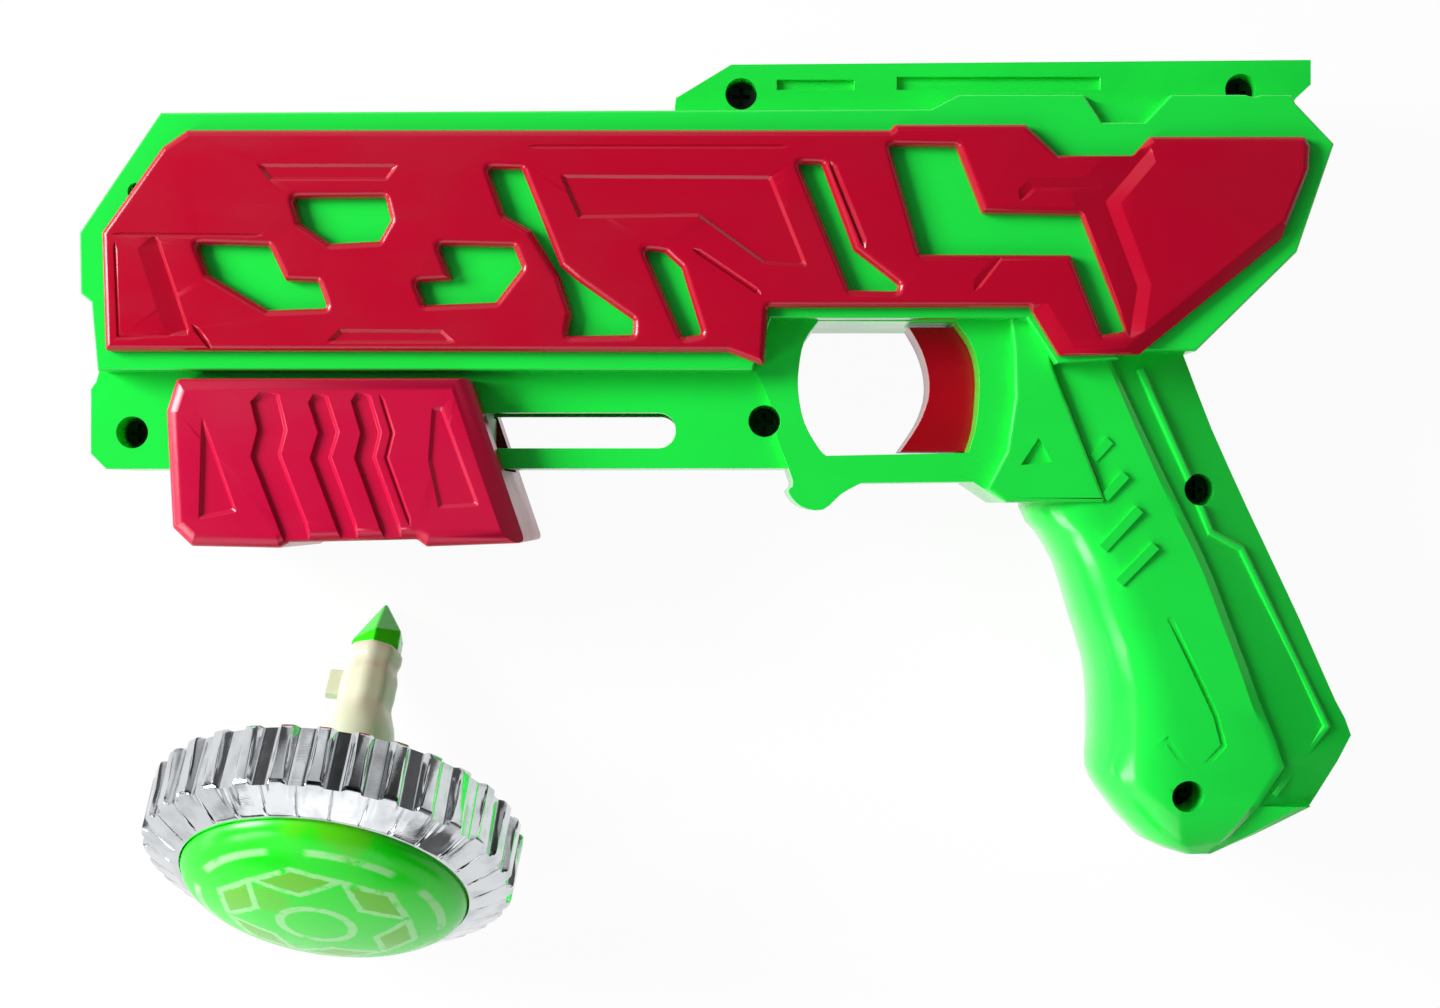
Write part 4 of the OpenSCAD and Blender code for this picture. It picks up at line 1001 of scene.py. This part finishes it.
        def section(corners: Sequence[Triple], level: Optional[float] = None) -> list[np.ndarray]:
            """Corners at each station, at a height over the land, or at a level over the middle plane."""
            points = []
            for part, shift, over in corners:
                along = part * width + shift
                height = high - self.land_slope * along + over
                if level is not None:
                    height = np.full_like(high, level)
                points.append(np.hstack([swell + way * along, MIDDLE + height]))
            return points

        plate = surface("plate_tool", np.stack(section(self.land_plate), axis=1) * MM, capped=True)
        work_in(plate, drill((self.land_screw,), self.land_screw_hole, MIDDLE, MIDDLE + HALF))
        ends = [(0, self.land_start, 0), (1, self.land_past, 0)]
        sides = section(ends) + section(ends[::-1], self.land_air)
        over = surface("land_tool", np.stack(sides, axis=1) * MM, capped=True)
        line, shape = np.array(self.ridge), np.array(self.ridge_section)
        edge = np.interp(-line[:, 1], -swell[:, 1], swell[:, 0])
        top = np.interp(-line[:, 1], -swell[:, 1], high[:, 0]) - self.land_slope * (line[:, 0] - edge)
        height = (MIDDLE + top)[:, None] + shape[None, :, 1]
        work_in(over, [surface("ridge_tool", carried(line, shape[None, :, 0], height), capped=True)])
        return plate, over

    def build(self) -> None:
        """Merged copies of the shells and screws with soft edges, and covers of their own."""
        tools = self.land_tools()
        others = [mirrored(tool, f"{tool.name}_right") for tool in tools]
        for side, word, (plate, over) in (("left", "Left", tools), ("right", "Right", others)):
            shell = merged_copy(self.frame, f"{side}_shell", f"Housing{word}")
            work_in(shell, [plate], "UNION")
            work_in(shell, [over])
            soft_rims(shell, self.rims, MIDDLE)
            SoftEdge(0.3, 2).apply(shell)
            self.keep(shell, Body.HOUSING, HOUSING_GREEN, f"{side}_shell")
        top = MIDDLE + HALF
        cover = Plate(self.outline, self.windows, MIDDLE + self.under, top, self.rim).build("CoverLeft")
        work_in(cover, [cut.cutter(top) for cut in self.cuts])
        other = mirrored(cover, "CoverRight")
        for piece, node in ((cover, "left_cover"), (other, "right_cover")):
            even_normals(piece)
            self.keep(piece, Body.HOUSING, COVER_CRIMSON, node)
        self.mould("body_screws", "BodyScrews", Body.HOUSING, SCREW_BLACK, SoftEdge(0.12, 2))


@dataclass
class Pump(Assembly):
    """Sliding fore-grip with its carriage and screws.

    The channel for the lower plate and the hollow are boxes: their spans in X, in Y, and over
    the middle plane. A screw goes through the right half, with its head on a seat, into a pilot
    hole in the left half. Pilot is the radius and depth of that hole, and past is how far the
    tool for the shank starts beyond the middle plane.
    """

    outline: Pairs = (
        (-90.0, -19.1), (-41.6, -19.1), (-32.3, -46.4), (-48.6, -47), (-50.2, -45.8), (-71.3, -46.3),
        (-72.9, -47.2), (-87.5, -46.9), (-90.7, -43.8), (-91.7, -24.5))
    rim: Pairs = ((0, 1.6), (0.15, 1.1), (0.6, 0.6), (1.5, 0.15), (2.2, 0))
    corner: float = 1.0
    foot: float = 0.1
    channel: Pairs = ((-100, -25), (-34.3, -10), (-1, 9.8))
    hollow: Pairs = ((-75.5, -48.5), (-44.2, -36.3), (-1, 16))
    screws: Pairs = ((-80, -41.2), (-44, -41.2))
    seat: float = 3.0
    past: float = 0.5
    pilot: Pair = (1.2, 5.2)
    shank: float = 1.35
    head: float = 2.7
    cuts: tuple[Union[Groove, Field], ...] = (
        Field(((-85.5, -25.2), (-79.8, -41.2), (-86.0, -42.4)), 0.55, 0.6),
        Groove(((-75.6, -21.3), (-74.1, -27.7), (-75.2, -31.9), (-70.6, -43.8),
                (-69, -49.5)), 3.9, 0.25, 0.6, 0.75),
        Groove(((-66.9, -21.6), (-64.8, -28.1), (-66.1, -32.3), (-61.8, -43.9),
                (-60.3, -49.5)), 2.5, 0.25, 0.6, 0.75),
        Groove(((-59.8, -21.4), (-57.8, -28.2), (-58.8, -32.3), (-54.7, -43.7),
                (-53, -49.5)), 2.5, 0.25, 0.6, 0.75),
        Groove(((-56.2, -21.8), (-54.2, -28.2), (-55.2, -32.3), (-51.1, -43.7)), 0.15, 0.15, 0.4, 0.4),
        Field(((-45.9, -23.8), (-39.8, -40.2), (-46.4, -40.6), (-48.1, -32.7), (-47.5, -24.2)), 0.5, 0.45),
        Groove(((-42.3, -16.9), (-31.6, -47.9)), 0.3, 3.0, 4.0, 2.2))

    def build(self) -> None:
        """Grips of their own, and soft copies of what they carry."""
        top, seat = MIDDLE + HALF, MIDDLE - self.seat
        grip = Plate(self.outline, (), MIDDLE, top, self.rim, self.corner, self.foot).build("PumpLeft")
        boxes = [block(box) for box in (self.channel, self.hollow)]
        work_in(grip, boxes + [cut.cutter(top) for cut in self.cuts])
        other = mirrored(grip, "PumpRight")
        pilot, deep = self.pilot
        work_in(grip, drill(self.screws, pilot, MIDDLE + deep, MIDDLE))
        work_in(other, drill(self.screws, self.shank, MIDDLE + self.past, seat))
        work_in(other, drill(self.screws, self.head, seat, 0.0))
        for piece, node in ((grip, "pump_left"), (other, "pump_right")):
            even_normals(piece)
            self.keep(piece, Body.PUMP, PUMP_CRIMSON, node)
        self.mould("pump_carriage", "PumpCarriage", Body.PUMP, INNER_WHITE, SoftEdge(0.2, 2))
        self.mould("pump_screws", "PumpScrews", Body.PUMP, SCREW_BLACK, SoftEdge(0.12, 2))


class Trigger(Assembly):
    """Trigger in its guard."""

    def build(self) -> None:
        """Soft copy of the trigger."""
        self.mould("trigger", "TriggerBlade", Body.TRIGGER, TRIGGER_CRIMSON, SoftEdge(0.8, 3))


class Works(Assembly):
    """Gears, spindle, rods, springs and pins inside the housing."""

    dressed: tuple[tuple[Finish, tuple[str, ...]], ...] = (
        (INNER_WHITE, ("rack", "drive_gear", "spindle", "release_lever")),
        (PIN_STEEL, ("gear_axle", "lever_pin", "ejector_rod")),
        (SPRING_STEEL, ("axle_clip", "pump_spring", "ejector_spring", "trigger_spring")),
        (BUSH_BRASS, ("front_bush", "rear_bush")),
    )

    def build(self) -> None:
        """Soft copy of the chuck; the CAD nodes of the rest are shown as they are, and dressed."""
        self.mould("chuck", "ChuckBody", Body.SPINDLE, INNER_WHITE, SoftEdge(0.25, 2))
        for finish, nodes in self.dressed:
            for node in nodes:
                dress(self.frame["nodes"][node], finish)


@dataclass
class SpinningTop(Assembly):
    """The top that lies beside the launcher on its rim and its tip.

    Its own Z runs from the dome to the tip, with zero at the ring's back. Profiles are rows of
    radius and height; the stem's rows give shares of its length and of its waist's radius. The
    depths of the flutes and of the stem's flats are shares of the radius, and flats_rows says
    from which row the flats grow, and over how many.
    """

    tip_place: Pair = (-61.0, -58.0)
    heading: float = 84.0
    lean: float = 125.909
    length: float = 43.5
    ring: float = 31.5
    mouth: float = 24.0
    flutes: int = 32
    flute: float = 0.045
    first_flute: float = 0.375
    notch: float = 0.42
    dome_rise: float = 7.0
    dome_set: float = 0.35
    dome_gap: float = 0.12
    dome_back: Pairs = ((0.0, -5.0), (23.6, -5.0), (23.9, -5.3), (23.9, -12.2))
    front: float = -13.2
    foot: Pair = (3.5, 32.5)
    waist: float = 4.6
    sides: int = 120
    stem_sides: int = 96
    flats: float = 0.035
    flats_rows: Pair = (26, 8)
    lug: Triple = (2.2, 7.4, 5.0)
    lug_at: float = 22.93
    lug_round: float = 0.5
    ring_rows: Pairs = (
        (24.0, -12.8), (24.0, -6.0), (24.0, -0.5), (24.15, -0.15), (24.5, 0.0), (27.5, 0.0),
        (29.6, -0.02), (30.9, -0.06), (31.25, -0.2), (31.45, -0.5), (31.5, -1.0), (31.3, -5.0),
        (31.12, -9.3), (31.05, -9.7), (30.8, -10.05), (30.4, -10.35), (28.4, -11.45), (26.2, -12.62),
        (25.5, -13.0), (25.1, -13.17), (24.6, -13.2), (24.2, -13.1))
    ring_facets: Triple = (13, 20, 3)
    base_rows: Pairs = (
        (0, -3.5), (23.6, -3.5), (23.9, -3.2), (23.9, -1.3), (23.6, -1.0), (21.8, -1.0), (21.4, -1.25),
        (20.9, -1.4), (10.8, -1.4), (10.2, -1.25), (9.7, -1.0), (9.0, -0.7), (8.7, 0.0), (7.7, 2.9),
        (7.45, 3.3), (7.1, 3.5), (0, 3.5))
    stem_rows: Pairs = (
        (0, 1.5), (0.01, 1.58), (0.25, 1.5), (0.43, 1.4), (0.48, 1.33), (0.54, 1.2), (0.59, 1.09),
        (0.63, 1.07), (0.68, 1.1), (0.8, 1.1), (0.835, 1.06), (0.855, 1.01), (0.87, 1.0), (0.9, 1.0),
        (0.92, 1.05), (0.94, 1.08), (0.985, 1.08), (1, 1.02))

    def place(self) -> Matrix:
        """Place of the top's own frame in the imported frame, in metres."""
        turn = Matrix.Rotation(math.radians(self.heading), 4, "Z")
        lean = Matrix.Rotation(math.radians(self.lean), 4, "Y")
        along = Matrix.Translation((0, 0, -self.length * MM))
        return Matrix.Translation((self.tip_place[0] * MM, self.tip_place[1] * MM, 0)) @ turn @ lean @ along

    def laid(self, name: str, points: np.ndarray, capped: bool = False,
             loop: bool = False) -> bpy.types.Object:
        """Piece from points in millimetres of the top's own frame."""
        return surface(name, placed(points * MM, self.place()), loop_rows=loop, capped=capped)

    def ring_piece(self) -> bpy.types.Object:
        """Fluted ring.

        Round one tooth, u runs from 0 to 1 with the land in the middle. The wall is cut down to
        the flute's radius by a smooth step of u. The sloping front is faceted: its radius is that
        of a flat from notch to notch, less a narrow notch. The facets lie between the two
        rows that ring_facets names first, and grow over its third number of rows.
        """
        rows, (first, last, blend) = np.array(self.ring_rows), self.ring_facets
        half_tooth = np.array([0, 0.02, 0.05, 0.12, 0.19, 0.22, 0.26, 0.31, 0.35, 0.40])
        u = np.concatenate([half_tooth, [0.5], 1 - half_tooth[:0:-1]])
        tooth = np.arange(self.flutes)[:, None] + u[None, :] - self.first_flute
        turn = (tooth / self.flutes * 2 * np.pi).ravel()
        u = np.tile(u, self.flutes)
        edge = np.minimum(u, 1 - u)
        step = np.clip((edge - 0.2) / 0.17, 0, 1)
        land = self.ring * (1 - self.flute * (1 - step * step * (3 - 2 * step)))
        half = np.pi / self.flutes
        flat = math.cos(half) / np.cos((u - 0.5) * 2 * half)
        notch = self.notch * np.clip(1 - edge / 0.05, 0, 1)

        def radius(row: np.ndarray, angle: np.ndarray) -> np.ndarray:
            """Radius of each row at each turn."""
            base = rows[row[:, 0], 0][:, None]
            slope = np.clip((row - first) / blend, 0, 1) * np.clip((last - row) / blend, 0, 1)
            front = base * (1 + slope * (flat - 1)[None, :]) - slope * notch[None, :]
            return np.minimum(front, land[None, :])

        made = self.laid("TopRing", lathe(rows, len(turn), radius, turn), loop=True)
        made.data.set_sharp_from_angle(angle=math.radians(30))
        return made

    def dome_piece(self) -> bpy.types.Object:
        """Domed face: a quarter ellipse turned about the axis, with its plan as its own UV map."""
        a = np.linspace(0, np.pi / 2, 28)
        reach = (self.mouth - self.dome_gap) * np.cos(a)
        reach[-1] = 0.0
        height = self.front + self.dome_set - (self.dome_rise + self.dome_set) * np.sin(a)
        rows = np.vstack([self.dome_back, np.stack([reach, height], axis=1)])
        made = self.laid("TopDome", lathe(rows, self.sides))
        places = np.empty(len(made.data.vertices) * 3)
        made.data.vertices.foreach_get("co", places)
        own = placed(places.reshape(-1, 3), self.place().inverted()) / (2 * self.mouth * MM) + 0.5
        corner = np.empty(len(made.data.loops), dtype=np.int64)
        made.data.loops.foreach_get("vertex_index", corner)
        made.data.uv_layers.new(name="TopPlan").data.foreach_set("uv", own[corner, :2].ravel())
        return made

    def stem_piece(self) -> bpy.types.Object:
        """Stem: turned foot, waist and knobs, slightly eight-sided, with its driving lug."""
        (low, high), shares = self.foot, np.array(self.stem_rows)
        at = np.linspace(0, 1, 60)
        radius = np.interp(at, shares[:, 0], shares[:, 1]) * self.waist
        side = np.stack([radius, low + at * (high - low)], axis=1)
        rows = np.vstack([[(0.0, low)], side, [(0.0, high)]])

        def eight(row: np.ndarray, angle: np.ndarray) -> np.ndarray:
            """Radius with flats that fade out towards the foot."""
            start, count = self.flats_rows
            fade = np.clip((row - start) / count, 0, 1)
            return rows[row[:, 0], 0][:, None] * (1 - self.flats * fade * (0.5 - 0.5 * np.cos(8 * angle)))

        stem = self.laid("TopStem", lathe(rows, self.stem_sides, eight))
        work_in(stem, [self.lug_tool()], "UNION")
        even_normals(stem, 50)
        return stem

    def lug_tool(self) -> bpy.types.Object:
        """Driving lug, from inside the stem outwards, with soft edges."""
        long, reach, high = self.lug
        ease = self.lug_round
        corners = ((-long / 2, ease), (long / 2, ease), (long / 2, reach), (-long / 2, reach))
        loop = eased(turned(corners, 1), ease, 0.0)
        outer = loop[:, 1] > reach / 2
        levels = ((0.3, 0.0), (0.08, 0.08), (0.0, 0.3), (0.0, high - 0.5), (0.15, high - 0.15), (0.5, high))
        plans = [np.stack([loop[:, 0] * (1 - inset / long), loop[:, 1] - inset * outer], axis=1)
                 for inset, _ in levels]
        points = [lifted(plan, self.lug_at + rise) for plan, (_, rise) in zip(plans, levels)]
        return self.laid("LugTool", np.stack(points), capped=True)

    def base_piece(self) -> bpy.types.Object:
        """Base plate with its hub, turned."""
        return self.laid("TopBase", lathe(np.array(self.base_rows), self.sides))

    def build(self) -> None:
        """Ring, dome, base and stem of their own; soft copy of the tip."""
        self.keep(self.ring_piece(), Body.TOP, RING_CHROME, "top_ring")
        self.keep(self.dome_piece(), Body.TOP, DOME_PRINT, "top_dome")
        self.keep(self.base_piece(), Body.TOP, BASE_GREEN, "top_base")
        self.keep(self.stem_piece(), Body.TOP, STEM_WHITE, "top_stem")
        self.mould("top_tip", "TopTip", Body.TOP, TIP_GREEN, SoftEdge(0.45, 3, 15))


# Studio


@dataclass
class Lamp:
    """A soft lamp: place, size and aim in metres, power in watts."""

    name: str
    place: Triple
    size: Pair
    power: float
    aim: Triple = (0.0, -0.03, 0.02)


@dataclass
class Studio:
    """White table, soft lamps and the camera straight above.

    In gloss, the room is white at the table and darkens with the height of the view from room_low
    to room_high, down to the ceiling, and dark flags stand round it.
    """

    floor_half: float = 3.0
    table_white: Colour = (0.92, 0.92, 0.92, 1)
    table_glow: float = 0.95
    camera_place: Triple = (0.0, -0.03993, 0.366)
    lens: float = 50.0
    sensor: float = 36.0
    ambient: float = 0.15
    room_low: float = 0.08
    room_high: float = 0.7
    ceiling: float = 0.03
    flags: float = 9.0
    flag_edge: float = 0.35
    flag_light: float = 0.12
    lamps: tuple[Lamp, ...] = (
        Lamp("KeyLamp", (-0.90, 0.25, 0.53), (0.46, 0.46), 15.8),
        Lamp("GripStrip", (-0.62, -0.42, 0.48), (0.14, 0.4), 1.7, (0.07, -0.07, 0.03)),
        Lamp("FillLamp", (-0.20, 0.45, 0.55), (0.5, 0.5), 0.45),
        Lamp("RingPanel", (-0.14, -0.56, 0.36), (0.6, 0.3), 0.7, (-0.061, -0.058, 0.03)),
        Lamp("LowStrip", (-0.62, -0.12, 0.05), (0.5, 0.06), 0.5),
    )

    def seen_plainly(self, graph: Graph) -> Socket:
        """One for rays from the camera, a gloss or a glass, and zero for the rest."""
        path = graph.node("ShaderNodeLightPath").outputs
        camera_or_gloss = graph.most(path["Is Camera Ray"], path["Is Glossy Ray"])
        return graph.most(camera_or_gloss, path["Is Transmission Ray"])

    def world(self) -> None:
        """World: white to the camera, the room in gloss and glass, and a plain soft light for the rest."""
        world = bpy.data.worlds.new("StudioWorld")
        world.use_nodes = True
        graph = Graph(world.node_tree)
        path = graph.node("ShaderNodeLightPath").outputs
        view = graph.parts(graph.node("ShaderNodeTexCoord").outputs["Object"])
        room = graph.span(view["Z"], self.room_low, self.room_high, 1.0, self.ceiling)
        turn = graph.math("ARCTAN2", view["X"], view["Y"])
        wave = graph.math("SINE", graph.times(turn, self.flags))
        room = graph.times(room, graph.span(wave, 0.0, self.flag_edge, 1.0, self.flag_light))
        mirrors = graph.most(path["Is Glossy Ray"], path["Is Transmission Ray"])
        shown = graph.most(path["Is Camera Ray"], graph.times(room, mirrors))
        rest = graph.times(graph.minus(1.0, self.seen_plainly(graph)), self.ambient)
        graph.fill(graph.first("BACKGROUND"), {"Color": (1, 1, 1, 1), "Strength": graph.plus(shown, rest)})
        bpy.context.scene.world = world

    def floor(self) -> None:
        """White table that keeps a faint shadow."""
        half = self.floor_half
        corners = [[(x, y, 0.0) for x in (-half, half)] for y in (-half, half)]
        table = surface("StudioFloor", np.array(corners), loop_columns=False)
        made = bpy.data.materials.new("TableWhite")
        made.use_nodes = True
        graph = Graph(made.node_tree)
        shader = graph.fill(graph.first("BSDF_PRINCIPLED"), {
            "Base Color": self.table_white, "Roughness": 0.9, "Specular IOR Level": 0.0})
        glow = graph.fill(graph.node("ShaderNodeEmission"), {"Strength": 1.0})
        share = graph.times(self.seen_plainly(graph), self.table_glow)
        blend = graph.node("ShaderNodeMixShader")
        graph.fill(blend, {0: share, 1: shader.outputs[0], 2: glow.outputs[0]})
        graph.put(graph.first("OUTPUT_MATERIAL").inputs["Surface"], blend.outputs[0])
        table.data.materials.append(made)

    def light(self) -> None:
        """Soft lamps that look at the launcher."""
        for lamp in self.lamps:
            data = bpy.data.lights.new(lamp.name, "AREA")
            data.shape = "RECTANGLE"
            data.size, data.size_y = lamp.size
            data.energy = lamp.power
            made = bpy.data.objects.new(lamp.name, data)
            made.location = lamp.place
            way = Vector(lamp.aim) - Vector(lamp.place)
            made.rotation_euler = way.to_track_quat("-Z", "Y").to_euler()
            bpy.context.scene.collection.objects.link(made)

    def camera(self) -> None:
        """Camera straight above the table, its top towards the rail."""
        data = bpy.data.cameras.new("PhotoCamera")
        data.lens = self.lens
        data.sensor_width = self.sensor
        data.clip_start = 0.01
        made = bpy.data.objects.new("PhotoCamera", data)
        made.location = self.camera_place
        bpy.context.scene.collection.objects.link(made)
        bpy.context.scene.camera = made

    def build(self) -> None:
        """Builds the whole studio."""
        bpy.context.scene.view_settings.view_transform = "Standard"
        self.camera()
        self.world()
        self.floor()
        self.light()


def main() -> None:
    """Builds the studio and every sub-assembly."""
    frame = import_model()
    Studio().build()
    for part in (Housing, Pump, Trigger, Works, SpinningTop):
        part(frame).build()
        LOG.info("%s is built", part.__name__)


if __name__ == "__main__":
    logging.basicConfig(level=logging.INFO, format="%(message)s")
    main()
